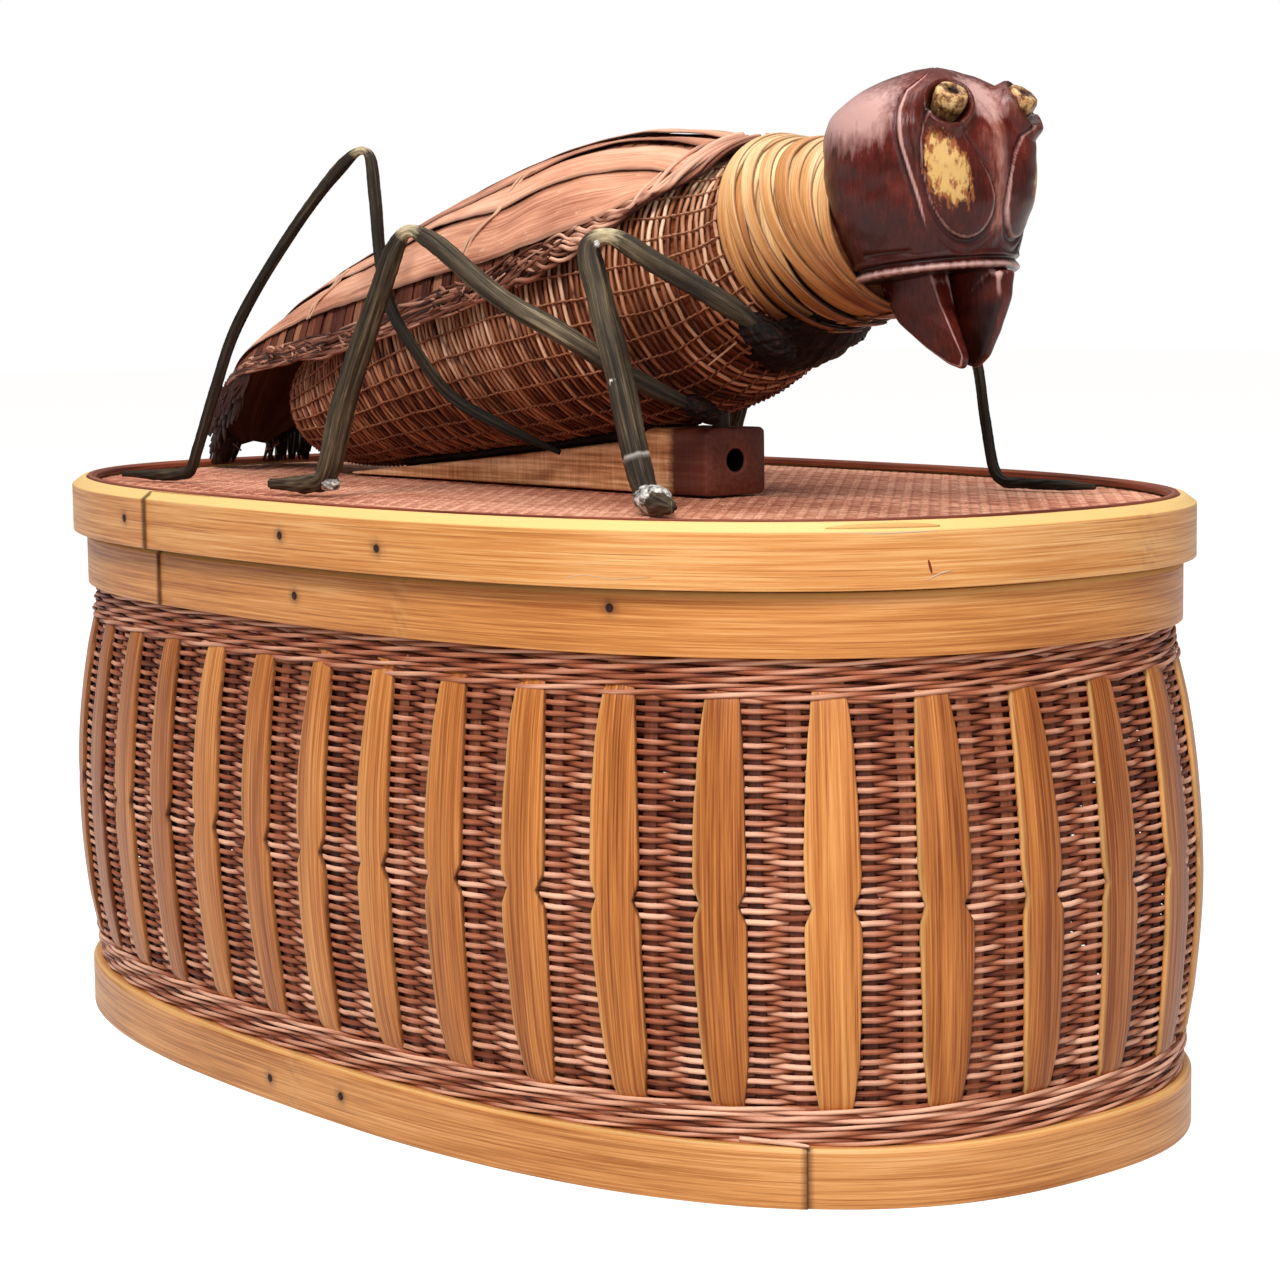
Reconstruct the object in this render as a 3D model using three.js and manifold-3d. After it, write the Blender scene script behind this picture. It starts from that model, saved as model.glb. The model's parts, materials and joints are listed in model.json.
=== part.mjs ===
// Woven bug box: an oval lidded box of bamboo hoops and wicker, with a large cricket
// of basketwork, carved wood and bent twigs standing on its lid.
// Millimetres, +Z up. The origin is the middle of the underside, +X points the way the
// cricket faces, and -Y is the side with its right legs.
import * as THREE from 'three';
import { mergeVertices } from 'three/addons/utils/BufferGeometryUtils.js';
import Module from 'manifold-3d';

const wasm = await Module();
wasm.setup();

// Driving dimensions
const GAP = 0.3;                      // left between pieces that touch
const CLAMP_GAP = 0.8;                // between a hoop's flat facets and the curved wall
const OVAL_POWER = 2.5;               // 2 is an ellipse, more is squarer
const LID = { a: 157.6, b: 95.8, x: 1 };  // half length, half width and middle of the lid hoop
const RIM = { a: 155.6, b: 92, x: 1 };    // and of the rim hoop, over its outside
const BASE = { a: 161, b: 91, x: 0 };     // and of the base hoop
const BASE_TOP = 12.3;
const RIM_BOTTOM = 109.3;
const RIM_TOP = 122.3;
const LID_BOTTOM = 122.7;
const PANEL_TOP = 134.4;
const BEAD_TOP = 136.4;
const COLLAR_TOP = 129.5;             // the collar that the lid drops over
const WALL_BULGE = 1.2;               // the wall's belly outside the hoops' faces
const SLATS = 38;
const SLAT_SHIFT = -2;                // the front slat's place, left of the middle
const HOOP_STEPS = 50;

// Layers of each rim, as insets from the outline: outer hoop, wall, inner hoop
const OUTER_HOOP = 3.2;
const WALL_OUT = OUTER_HOOP + CLAMP_GAP;
const WALL_THICK = 1.8;
const INNER_OUT = WALL_OUT + WALL_THICK + CLAMP_GAP;
const INNER_HOOP = 2;
const LID_HOOP = 3.6;
const LID_INNER_OUT = LID_HOOP + GAP;
const LID_INNER_HOOP = 3.2;

const finishes = {
  hoop: [0xcf9858, 0.45], hoopInner: [0xa8603c, 0.55], weave: [0x8a5040, 0.7],
  panel: [0xb0705a, 0.75], pin: [0x4a2416, 0.6], block: [0xb4764a, 0.5],
  body: [0x9a5a40, 0.7], splint: [0xb9795e, 0.55], braid: [0x5a2f26, 0.8],
  wrap: [0xc08c50, 0.5], core: [0x6a3c24, 0.8], head: [0x4e2624, 0.3],
  knob: [0xd8b468, 0.45], twig: [0x544e3c, 0.8],
};

const part = new THREE.Group();

function add(name, geometry, finish) {
  const [color, roughness] = finishes[finish];
  const mesh = new THREE.Mesh(geometry, new THREE.MeshStandardMaterial({ color, roughness, metalness: 0 }));
  mesh.name = name;
  part.add(mesh);
  return mesh;
}

// Geometry helpers

const degrees = THREE.MathUtils.degToRad;

function volume(points, faces) {
  const cross = new THREE.Vector3();
  return faces.reduce((sum, [i, j, k]) => sum + points[i].dot(cross.crossVectors(points[j], points[k])), 0);
}

// A closed solid from its points and triangles, turned so that its faces point out
function solid(points, faces) {
  const outward = volume(points, faces) > 0 ? faces : faces.map(([i, j, k]) => [i, k, j]);
  const geometry = new THREE.BufferGeometry();
  geometry.setAttribute('position', new THREE.Float32BufferAttribute(points.flatMap((p) => p.toArray()), 3));
  geometry.setIndex(outward.flat());
  geometry.computeVertexNormals();
  return geometry;
}

// Two triangles for each cell between neighbouring rows; rows and columns may wrap round
function cells(rows, columns, rowsWrap) {
  const faces = [];
  const bands = rowsWrap ? rows : rows - 1;
  for (let r = 0; r < bands; r += 1) {
    for (let c = 0; c < columns; c += 1) {
      const below = r * columns;
      const above = ((r + 1) % rows) * columns;
      const next = (c + 1) % columns;
      faces.push([below + c, below + next, above + c], [below + next, above + next, above + c]);
    }
  }
  return faces;
}

// A ring-shaped solid: closed cross-sections, the last one joined to the first
function ring(sections) {
  return solid(sections.flat(), cells(sections.length, sections[0].length, true));
}

// A solid through closed cross-sections, with both ends closed on their middle points
function loft(sections) {
  const columns = sections[0].length;
  const points = sections.flat();
  const faces = cells(sections.length, columns, false);
  for (const [row, turn] of [[0, false], [sections.length - 1, true]]) {
    const middle = new THREE.Vector3();
    sections[row].forEach((p) => middle.addScaledVector(p, 1 / columns));
    points.push(middle);
    for (let c = 0; c < columns; c += 1) {
      const edge = [row * columns + c, row * columns + ((c + 1) % columns)];
      faces.push(turn ? [edge[0], edge[1], points.length - 1] : [edge[1], edge[0], points.length - 1]);
    }
  }
  return solid(points, faces);
}

function toManifold(geometry) {
  const bare = geometry.clone();
  bare.deleteAttribute('normal');
  bare.deleteAttribute('uv');
  const merged = mergeVertices(bare, 1e-4);
  return new wasm.Manifold(new wasm.Mesh({
    numProp: 3,
    vertProperties: new Float32Array(merged.attributes.position.array),
    triVerts: new Uint32Array(merged.index.array),
  }));
}

function toGeometry(manifold) {
  const mesh = manifold.getMesh();
  const geometry = new THREE.BufferGeometry();
  geometry.setAttribute('position', new THREE.BufferAttribute(new Float32Array(mesh.vertProperties), 3));
  geometry.setIndex(new THREE.BufferAttribute(new Uint32Array(mesh.triVerts), 1));
  geometry.computeVertexNormals();
  return geometry;
}

function cut(geometry, ...tools) {
  return toGeometry(tools.reduce((body, tool) => body.subtract(toManifold(tool)), toManifold(geometry)));
}

// The same solid on the other side of the XZ plane
function mirror(geometry) {
  const bare = geometry.clone();
  bare.deleteAttribute('normal');
  bare.deleteAttribute('uv');
  const merged = mergeVertices(bare, 1e-4);
  const place = merged.attributes.position;
  const points = Array.from({ length: place.count }, (_, k) => (
    new THREE.Vector3(place.getX(k), -place.getY(k), place.getZ(k))));
  const faces = Array.from({ length: merged.index.count / 3 }, (_, k) => (
    [0, 1, 2].map((corner) => merged.index.getX(3 * k + corner))));
  return solid(points, faces);
}

// A round bar from one point to another
function bar(from, to, radius, sides) {
  const along = new THREE.Vector3().subVectors(to, from);
  const geometry = new THREE.CylinderGeometry(radius, radius, along.length(), sides);
  const turn = new THREE.Quaternion().setFromUnitVectors(new THREE.Vector3(0, 1, 0), along.clone().normalize());
  geometry.applyQuaternion(turn);
  return geometry.translate(...from.clone().addScaledVector(along, 0.5).toArray());
}

// A twig or cord: a round section carried along a smooth route
function twig(route, radius, sides, steps) {
  const section = new THREE.Shape();
  for (let k = 0; k < sides; k += 1) {
    const angle = (k / sides) * 2 * Math.PI;
    section[k ? 'lineTo' : 'moveTo'](radius * Math.cos(angle), radius * Math.sin(angle));
  }
  const curve = new THREE.CatmullRomCurve3(route.map((p) => new THREE.Vector3(...p)), false, 'centripetal');
  return new THREE.ExtrudeGeometry(section, { steps, extrudePath: curve });
}

// Values between hand-placed stations, each [x, value, value...] with x rising
function between(stations, x) {
  const last = stations.length - 1;
  const found = stations.findIndex((s) => s[0] >= x);
  const right = found < 0 ? last : Math.max(found, 1);
  const [p0, p1, p2, p3] = [-2, -1, 0, 1].map((k) => stations[Math.min(Math.max(right + k, 0), last)]);
  const f = THREE.MathUtils.clamp((x - p1[0]) / (p2[0] - p1[0]), 0, 1);
  return p1.slice(1).map((v1, n) => {
    const [v0, v2, v3] = [p0[n + 1], p2[n + 1], p3[n + 1]];
    const slope1 = p0 === p1 ? v2 - v1 : ((v2 - v0) * (p2[0] - p1[0])) / (p2[0] - p0[0]);
    const slope2 = p3 === p2 ? v2 - v1 : ((v3 - v1) * (p2[0] - p1[0])) / (p3[0] - p1[0]);
    const square = f * f;
    const cube = square * f;
    return (2 * cube - 3 * square + 1) * v1 + (cube - 2 * square + f) * slope1
      + (3 * square - 2 * cube) * v2 + (cube - square) * slope2;
  });
}

// The box

// An oval |x/a|^p + |y/b|^p = 1. The returned function gives the point at a fraction of
// the way round, counted from the middle of the front towards +X, moved in by an inset.
function oval({ a, b, x }) {
  const fine = 1520;
  const points = [];
  const lengths = [0];
  for (let k = 0; k <= fine; k += 1) {
    const angle = (k / fine) * 2 * Math.PI - Math.PI / 2;
    const [c, s] = [Math.cos(angle), Math.sin(angle)];
    const power = 2 / OVAL_POWER;
    const side = new THREE.Vector2(a * Math.sign(c) * Math.abs(c) ** power, b * Math.sign(s) * Math.abs(s) ** power);
    points.push(side.add(new THREE.Vector2(x, 0)));
    if (k) lengths.push(lengths[k - 1] + points[k].distanceTo(points[k - 1]));
  }
  const round = lengths[fine];
  const place = (fraction, inset, z) => {
    const target = (fraction - Math.floor(fraction)) * round;
    let k = lengths.findIndex((length) => length > target);
    if (k < 1) k = fine;
    const f = (target - lengths[k - 1]) / (lengths[k] - lengths[k - 1]);
    const p = points[k - 1].clone().lerp(points[k], f);
    const back = points[(k - 4 + fine) % fine];
    const ahead = points[(k + 3) % fine];
    const out = new THREE.Vector2(ahead.y - back.y, back.x - ahead.x).normalize();
    return new THREE.Vector3(p.x - out.x * inset, p.y - out.y * inset, z);
  };
  place.round = round;
  return place;
}

const lidOval = oval(LID);
const rimOval = oval(RIM);
const baseOval = oval(BASE);

// A hoop carries its cross-section, a list of [inset, height], round an oval
function hoop(outline, section) {
  const sections = Array.from({ length: HOOP_STEPS }, (_, k) => (
    section.map(([inset, z]) => outline(k / HOOP_STEPS, inset, z))));
  return ring(sections);
}

function panel(outline, inset, bottom, top) {
  const rim = Array.from({ length: HOOP_STEPS }, (_, k) => outline(k / HOOP_STEPS, inset, 0));
  const shape = new THREE.Shape(rim.map((p) => new THREE.Vector2(p.x, p.y)));
  return new THREE.ExtrudeGeometry(shape, { depth: top - bottom, bevelEnabled: false }).translate(0, 0, bottom);
}

// Pins through the hoops, at [fraction round, height]
const PIN_RADIUS = 0.9;
const PIN_HOLE = PIN_RADIUS + GAP;
const PIN_LENGTH = 5.4;
const lidPins = [[-0.071, 129.2], [0.0151, 129.2], [0.0559, 128.2]];
const rimPins = [[0.0147, 115.8], [0.1277, 118.6]];
const basePins = [[-0.004, 5.2], [0.0294, 6.4]];

function pinBar(outline, [fraction, z], radius, outside, inside) {
  return bar(outline(fraction, outside, z), outline(fraction, inside, z), radius, 8);
}

function pinHoles(outline, pins) {
  return pins.map((pin) => pinBar(outline, pin, PIN_HOLE, -2, PIN_LENGTH + GAP));
}

function addPins(prefix, outline, pins) {
  pins.forEach((pin, k) => add(`${prefix}_pin_${k + 1}`, pinBar(outline, pin, PIN_RADIUS, -0.3, PIN_LENGTH), 'pin'));
}

const baseHoles = pinHoles(baseOval, basePins);
const rimHoles = pinHoles(rimOval, rimPins);
const lidHoles = pinHoles(lidOval, lidPins);

const FLOOR_BOTTOM = 1;
const FLOOR_TOP = 3;
add('base_panel', panel(baseOval, INNER_OUT + GAP, FLOOR_BOTTOM, FLOOR_TOP), 'panel');
add('base_hoop', cut(hoop(baseOval, [
  [0, 0], [OUTER_HOOP, 0], [OUTER_HOOP, BASE_TOP], [0.6, BASE_TOP], [0, BASE_TOP - 0.8],
]), ...baseHoles), 'hoop');
add('base_inner_hoop', hoop(baseOval, [
  [INNER_OUT, FLOOR_TOP + GAP], [INNER_OUT + INNER_HOOP, FLOOR_TOP + GAP],
  [INNER_OUT + INNER_HOOP, 13.5], [INNER_OUT, 13.5],
]), 'hoopInner');
addPins('base', baseOval, basePins);

// Wicker wall with its slats standing proud of the weave. A slat widens from its tucked
// tips towards the middle and has a notched waist.
const WALL_BOTTOM = 1.2;
const WALL_TOP = 121.5;
const SLAT_RELIEF = 0.8;
const SLAT_EDGE = 0.25;
const WAIST = 60.8;
const wallLevels = [           // [height, half width of the slat, how far it stands proud]
  [WALL_BOTTOM, 3.2, 0], [BASE_TOP + GAP, 3.2, 0], [20, 3.2, 0], [22, 3.3, SLAT_RELIEF],
  [WAIST - 5.6, 5.1, SLAT_RELIEF], [WAIST, 4, SLAT_RELIEF], [WAIST + 5.6, 5.1, SLAT_RELIEF],
  [100.3, 3.3, SLAT_RELIEF], [102.3, 3.2, 0], [RIM_BOTTOM - GAP, 3.2, 0], [WALL_TOP, 3.2, 0],
];

// The wall runs from the base oval to the rim oval and bellies out between the hoops
function wallPoint(fraction, z, out) {
  const rise = THREE.MathUtils.clamp((z - BASE_TOP) / (RIM_BOTTOM - BASE_TOP), 0, 1);
  const belly = (WALL_OUT + WALL_BULGE) * Math.sin(Math.PI * rise);
  const inset = WALL_OUT - belly - out;
  return baseOval(fraction, inset, z).lerp(rimOval(fraction, inset, z), rise);
}

function wall() {
  const sections = [];
  const round = (baseOval.round + rimOval.round) / 2;
  for (let k = 0; k < SLATS; k += 1) {
    for (const [side, high] of [[-1, false], [-1, true], [1, true], [1, false]]) {
      const at = (half, edge) => k / SLATS + (SLAT_SHIFT + side * (half + edge)) / round;
      const outer = wallLevels.map(([z, half, proud]) => (
        wallPoint(at(half, high ? -SLAT_EDGE : SLAT_EDGE), z, high ? proud : 0)));
      const inner = [WALL_TOP, WAIST, WALL_BOTTOM].map((z) => (
        wallPoint(at(4, high ? -SLAT_EDGE : SLAT_EDGE), z, -WALL_THICK)));
      sections.push([...outer, ...inner]);
    }
  }
  return ring(sections);
}

const wallHoles = [...baseHoles, ...rimHoles];
add('wicker_wall', cut(wall(), ...wallHoles), 'weave');

add('rim_hoop', cut(hoop(rimOval, [
  [0, RIM_BOTTOM], [OUTER_HOOP, RIM_BOTTOM], [OUTER_HOOP, RIM_TOP], [1, RIM_TOP - 0.3], [0, RIM_TOP - 1.2],
]), ...rimHoles), 'hoop');
add('rim_collar', hoop(rimOval, [
  [INNER_OUT, 104], [INNER_OUT + INNER_HOOP, 104], [INNER_OUT + INNER_HOOP, COLLAR_TOP], [INNER_OUT, COLLAR_TOP],
]), 'hoopInner');
addPins('rim', rimOval, rimPins);

// The lid: outer hoop with a bevelled top, inner hoop, woven panel and the bead over its edge
const PANEL_THICK = 2.2;
const PANEL_BOTTOM = PANEL_TOP - PANEL_THICK;
const INNER_IN = LID_INNER_OUT + LID_INNER_HOOP;
add('lid_hoop', cut(hoop(lidOval, [
  [0, LID_BOTTOM], [LID_HOOP, LID_BOTTOM], [LID_HOOP, BEAD_TOP - 0.4], [2.4, BEAD_TOP - 0.4], [0, 134.2],
]), ...lidHoles), 'hoop');
add('lid_inner_hoop', cut(hoop(lidOval, [
  [LID_INNER_OUT, 124.2], [INNER_IN, 124.2], [INNER_IN, PANEL_BOTTOM - GAP], [LID_INNER_OUT, PANEL_BOTTOM - GAP],
]), ...lidHoles), 'hoopInner');
add('lid_panel', panel(lidOval, LID_INNER_OUT, PANEL_BOTTOM, PANEL_TOP), 'panel');
add('lid_bead', hoop(lidOval, [
  [LID_INNER_OUT, PANEL_TOP + GAP], [LID_INNER_OUT + 2.2, PANEL_TOP + GAP],
  [LID_INNER_OUT + 2.2, BEAD_TOP - 0.5], [LID_INNER_OUT + 1.4, BEAD_TOP], [LID_INNER_OUT, BEAD_TOP],
]), 'hoopInner');
addPins('lid', lidOval, lidPins);

// The block under the cricket: a wedge with a blind hole in its front end
const BLOCK_WIDTH = 18;
const BLOCK_BOTTOM = PANEL_TOP + GAP;
const PEG = { x: 49, radius: 2, bottom: 144, top: 161 };
const blockSide = [[-87, 0], [54, 0], [54, 15.2], [34, 15], [27, 11.9], [-87, 0.4]];
const blockShape = new THREE.Shape(blockSide.map(([x, z]) => new THREE.Vector2(x, z)));
const block = new THREE.ExtrudeGeometry(blockShape, { depth: BLOCK_WIDTH, bevelEnabled: false })
  .rotateX(Math.PI / 2).translate(0, BLOCK_WIDTH / 2, BLOCK_BOTTOM);
const blockBore = bar(new THREE.Vector3(42, 0, 142.6), new THREE.Vector3(60, 0, 142.6), 2.5, 12);

function pegBar(grow) {
  return bar(new THREE.Vector3(PEG.x, 0, PEG.bottom - grow), new THREE.Vector3(PEG.x, 0, PEG.top + grow),
    PEG.radius + grow, 12);
}

add('mount_block', cut(block, blockBore, pegBar(GAP)), 'block');
add('mount_peg', pegBar(0), 'pin');

// The cricket

// Body: round sections along a rising axis, [x, height of the axis, radius, lean in degrees]
const bodyStations = [
  [-117.5, 150.2, 0.6, 8], [-115.8, 150.5, 6, 8], [-111, 151.3, 10.8, 9], [-103, 152.4, 14.8, 10],
  [-86, 155.9, 19.2, 12], [-62, 162.9, 24.1, 13], [-38, 169.1, 27.7, 12], [-10, 175, 30.6, 9],
  [16, 179.4, 31.7, 6], [38, 182.1, 30.7, 5], [56, 184, 27.2, 7], [68, 187.2, 23.2, 11], [78.3, 191.2, 21.4, 14],
];
const BODY_SIDES = 24;

function bodyForm(grow) {
  return loft(bodyStations.map(([x, z, radius, lean], n) => {
    const end = n === bodyStations.length - 1 ? grow : 0;
    return Array.from({ length: BODY_SIDES }, (_, k) => {
      const angle = (k / BODY_SIDES) * 2 * Math.PI;
      const up = (radius + grow) * Math.cos(angle);
      return new THREE.Vector3(x + end - up * Math.sin(degrees(lean)), (radius + grow) * Math.sin(angle),
        z + up * Math.cos(degrees(lean)));
    });
  }));
}

add('basket_body', cut(bodyForm(0), pegBar(GAP)), 'body');

// Wing cover: an arched shell over the body that runs on past it as a hood.
// Stations: [x, ridge height, half width of the arch, its depth, hem angle from the ridge]
const coverStations = [
  [-147.8, 142, 5, 2.4, 80], [-144, 148.4, 12, 4.6, 80], [-137, 157, 17.4, 6.8, 80],
  [-124, 168, 21.4, 10.4, 82], [-108, 177.4, 23.6, 15.6, 84], [-88, 186.2, 25.8, 21.4, 86],
  [-66, 193.6, 28.6, 26.2, 87], [-42, 201, 31.4, 29.6, 87], [-20, 207.2, 33.6, 32.1, 87],
  [5, 213, 35.2, 34.2, 85], [30, 216, 35, 34.8, 77], [50, 215.2, 32.6, 32.6, 62],
  [60, 214, 30.8, 30.8, 43], [65, 213.2, 29.6, 29.6, 3],
];
const COVER_THICK = 1.3;
const COVER_STEPS = 12;

function coverPoint(x, share, inset) {
  const [ridge, half, deep, hem] = between(coverStations, x);
  const angle = degrees(hem) * share;
  return new THREE.Vector3(x, (half - inset) * Math.sin(angle), ridge - deep + (deep - inset) * Math.cos(angle));
}

const coverSections = coverStations.map(([x]) => {
  const shares = Array.from({ length: COVER_STEPS + 1 }, (_, k) => (2 * k) / COVER_STEPS - 1);
  const outer = shares.map((share) => coverPoint(x, share, 0));
  const inner = shares.reverse().map((share) => coverPoint(x, share, COVER_THICK));
  return [...outer, ...inner];
});
// The braided cord along each edge of the wing cover, from the ridge back to the tail. It
// lies in the surface of the cover, a little outside the edge all the way.
const HEM_RADIUS = 1.5;
const HEM_CLEAR = HEM_RADIUS + 0.7;
const hemStops = [65, 62.5, 60, 55, 50, 40, 30, 18, 5, -20, -42, -66, -88, -108, -124, -137, -144, -147.8];

function hemRoute(hand) {
  const edge = hemStops.map((x) => {
    const [, half, , hem] = between(coverStations, x);
    return new THREE.Vector2(x, half * degrees(hem));
  });
  return edge.map((p, k) => {
    const along = edge[Math.min(k + 1, edge.length - 1)].clone().sub(edge[Math.max(k - 1, 0)]).normalize();
    const x = p.x + along.y * HEM_CLEAR;
    const round = Math.max(p.y - along.x * HEM_CLEAR, HEM_CLEAR);
    const [ridge, half, deep] = between(coverStations, x);
    const angle = round / half;
    return [x, hand * (half - COVER_THICK / 2) * Math.sin(angle),
      ridge - deep + (deep - COVER_THICK / 2) * Math.cos(angle)];
  });
}

const hemTube = (hand, radius) => twig(hemRoute(hand), radius, 5, 40);
const hemSpace = [hemTube(-1, HEM_RADIUS + 2 * GAP), hemTube(1, HEM_RADIUS + 2 * GAP)];
add('wing_cover', cut(loft(coverSections), ...hemSpace), 'splint');
add('right_wing_hem', hemTube(-1, HEM_RADIUS), 'braid');
add('left_wing_hem', hemTube(1, HEM_RADIUS), 'braid');

// Neck: a plain core, narrowing towards the head, with flat splints wound round it. Its
// sections lean back from its axis, which rises a little towards the head.
const NECK_START = new THREE.Vector3(78.8, 0, 192.6);
const NECK = { rise: 4, lean: 15, length: 25.6, radius: 19.2, slimmer: 2 };
const neckAxis = new THREE.Vector3(Math.cos(degrees(NECK.rise)), 0, Math.sin(degrees(NECK.rise)));
const neckUp = new THREE.Vector3(-Math.sin(degrees(NECK.lean)), 0, Math.cos(degrees(NECK.lean)));
const side = new THREE.Vector3(0, 1, 0);

// A point by its distance along the neck axis, the angle round it and its height over the core
function neckPoint(along, angle, over) {
  const radius = NECK.radius - NECK.slimmer * (along / NECK.length) + over;
  return NECK_START.clone().addScaledVector(neckAxis, along)
    .addScaledVector(side, radius * Math.sin(angle)).addScaledVector(neckUp, radius * Math.cos(angle));
}

// The solid between two sections of the neck, standing over the core by a given height
function neckDrum(from, to, over) {
  const sides = 20;
  return loft([from, to].map((along) => (
    Array.from({ length: sides }, (_, k) => neckPoint(along, (k / sides) * 2 * Math.PI, over)))));
}

add('neck_core', neckDrum(0.4, NECK.length, 0), 'core');

const WRAP = { loops: 6, steps: 24, first: 1.9, pitch: 3.68, width: 3.2, thick: 1.2, over: 0.5 };
const strip = [[-0.5, 0], [-0.36, 0.5], [0.36, 0.5], [0.5, 0], [0.36, -0.5], [-0.36, -0.5]];

function wrapSections() {
  return Array.from({ length: WRAP.loops * WRAP.steps + 1 }, (_, k) => {
    const turns = k / WRAP.steps;
    return strip.map(([wide, thick]) => {
      const over = WRAP.over + (0.5 + thick) * WRAP.thick;
      return neckPoint(WRAP.first + turns * WRAP.pitch + wide * WRAP.width, turns * 2 * Math.PI, over);
    });
  });
}

const wrap = wrapSections();

// Least distance between the points of stretches that lie at least half a loop apart
function leastGap(sections, apart) {
  let least = Infinity;
  for (let i = 0; i < sections.length; i += 1) {
    for (let j = i + apart; j < sections.length; j += 1) {
      for (const p of sections[i]) {
        for (const q of sections[j]) least = Math.min(least, p.distanceTo(q));
      }
    }
  }
  return least;
}

console.log('least gap between turns of the neck wrap, mm:', leastGap(wrap, WRAP.steps / 2).toFixed(2));
add('neck_wrap', loft(wrap), 'wrap');
const wrapSpace = neckDrum(-6, NECK.length + GAP, WRAP.over + WRAP.thick + 2 * GAP);

// Head: level sections, [height, middle, half width], a little shorter than they are wide.
// The neck runs into its back, and a rising cut makes the mouth.
const headLevels = [
  [173.5, 119, 12.6], [177.2, 118.5, 14.5], [183.8, 117.6, 16.9], [189, 116.4, 18.8], [193.5, 115.9, 20.3],
  [199, 115.6, 21.5], [206.5, 115.2, 22], [212.6, 115, 21.5], [216.7, 115.4, 19.6], [220.2, 116.2, 15.8],
  [223.2, 116.9, 10.2], [225, 117, 4.8], [225.6, 117, 1.2],
];
const HEAD_LENGTH = 0.95;             // of its width
const HEAD_SIDES = 20;
const head = loft(headLevels.map(([z, middle, half]) => (
  Array.from({ length: HEAD_SIDES }, (_, k) => {
    const angle = (k / HEAD_SIDES) * 2 * Math.PI;
    return new THREE.Vector3(middle + HEAD_LENGTH * half * Math.cos(angle), half * Math.sin(angle), z);
  }))));
const MOUTH = { x: 118, z: 182.6, rise: 7 };

// Turns what was made level round the mouth's middle to its slope
function atMouth(geometry) {
  return geometry.rotateY(degrees(-MOUTH.rise)).translate(MOUTH.x, 0, MOUTH.z);
}

const underMouth = atMouth(new THREE.BoxGeometry(60, 60, 20).translate(0, 0, -10));

// Eye knobs: short turned pegs with a drilled end, set in pockets of the brow
const KNOB = { x: 129, y: 9.4, z: 214.6, length: 8, pocket: 4, tilt: 52, splay: 12 };
const knobProfile = [[0, 0], [3, 0], [3.2, 3.6], [3.6, 5.6], [3.2, 8], [1, 8], [1, 4.8], [0, 4.8]];

function knobFrame(geometry, hand) {
  geometry.rotateX(Math.PI / 2);
  geometry.rotateY(degrees(90 - KNOB.tilt));
  geometry.rotateZ(degrees(hand * KNOB.splay));
  return geometry.translate(KNOB.x, hand * KNOB.y, KNOB.z);
}

function knob(hand) {
  const points = knobProfile.map(([radius, along]) => new THREE.Vector2(radius, along));
  return knobFrame(new THREE.LatheGeometry(points, 10), hand);
}

function knobPocket(hand) {
  const length = KNOB.length + 4;
  const pocket = new THREE.CylinderGeometry(KNOB.pocket, KNOB.pocket, length, 12).translate(0, length / 2 - GAP, 0);
  return knobFrame(pocket, hand);
}

add('head', cut(head, wrapSpace, underMouth, knobPocket(1), knobPocket(-1)), 'head');
add('right_eye_knob', knob(-1), 'knob');
add('left_eye_knob', knob(1), 'knob');

// Mandibles: two tongues hanging under the mouth, side by side and thinner towards the tip.
// Side outline from the mouth's middle.
const mandibleSide = [
  [-11.6, -0.4], [17.2, -0.4], [16.6, -6], [13.8, -12.5], [10.8, -17.6], [7.6, -19.6], [3.8, -18.2], [-1.4, -14], [-7.6, -8],
];
const MANDIBLE = { thick: 5.6, inner: 0.8, tip: 0.35 };

function mandible() {
  const shape = new THREE.Shape(mandibleSide.map(([x, z]) => new THREE.Vector2(x, z)));
  const geometry = new THREE.ExtrudeGeometry(shape, {
    depth: MANDIBLE.thick - 2, bevelThickness: 1, bevelSize: 1, bevelOffset: -1, bevelSegments: 1,
  });
  geometry.rotateX(Math.PI / 2).translate(0, MANDIBLE.thick - 1, 0);
  const place = geometry.attributes.position;
  const deepest = Math.min(...mandibleSide.map(([, z]) => z));
  for (let k = 0; k < place.count; k += 1) {
    const share = 1 - (1 - MANDIBLE.tip) * (place.getZ(k) / deepest);
    place.setY(k, MANDIBLE.inner + place.getY(k) * share);
  }
  return atMouth(geometry);
}

add('right_mandible', cut(mirror(mandible()), wrapSpace), 'head');
add('left_mandible', cut(mandible(), wrapSpace), 'head');

// Breast: a rough dark lump under the neck that carries the front legs
const breast = new THREE.SphereGeometry(1, 14, 8).scale(15, 12, 6.8).rotateY(degrees(-20)).translate(78.5, 0, 170.6);
add('breast', cut(breast, wrapSpace, bodyForm(2 * GAP)), 'braid');

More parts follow.
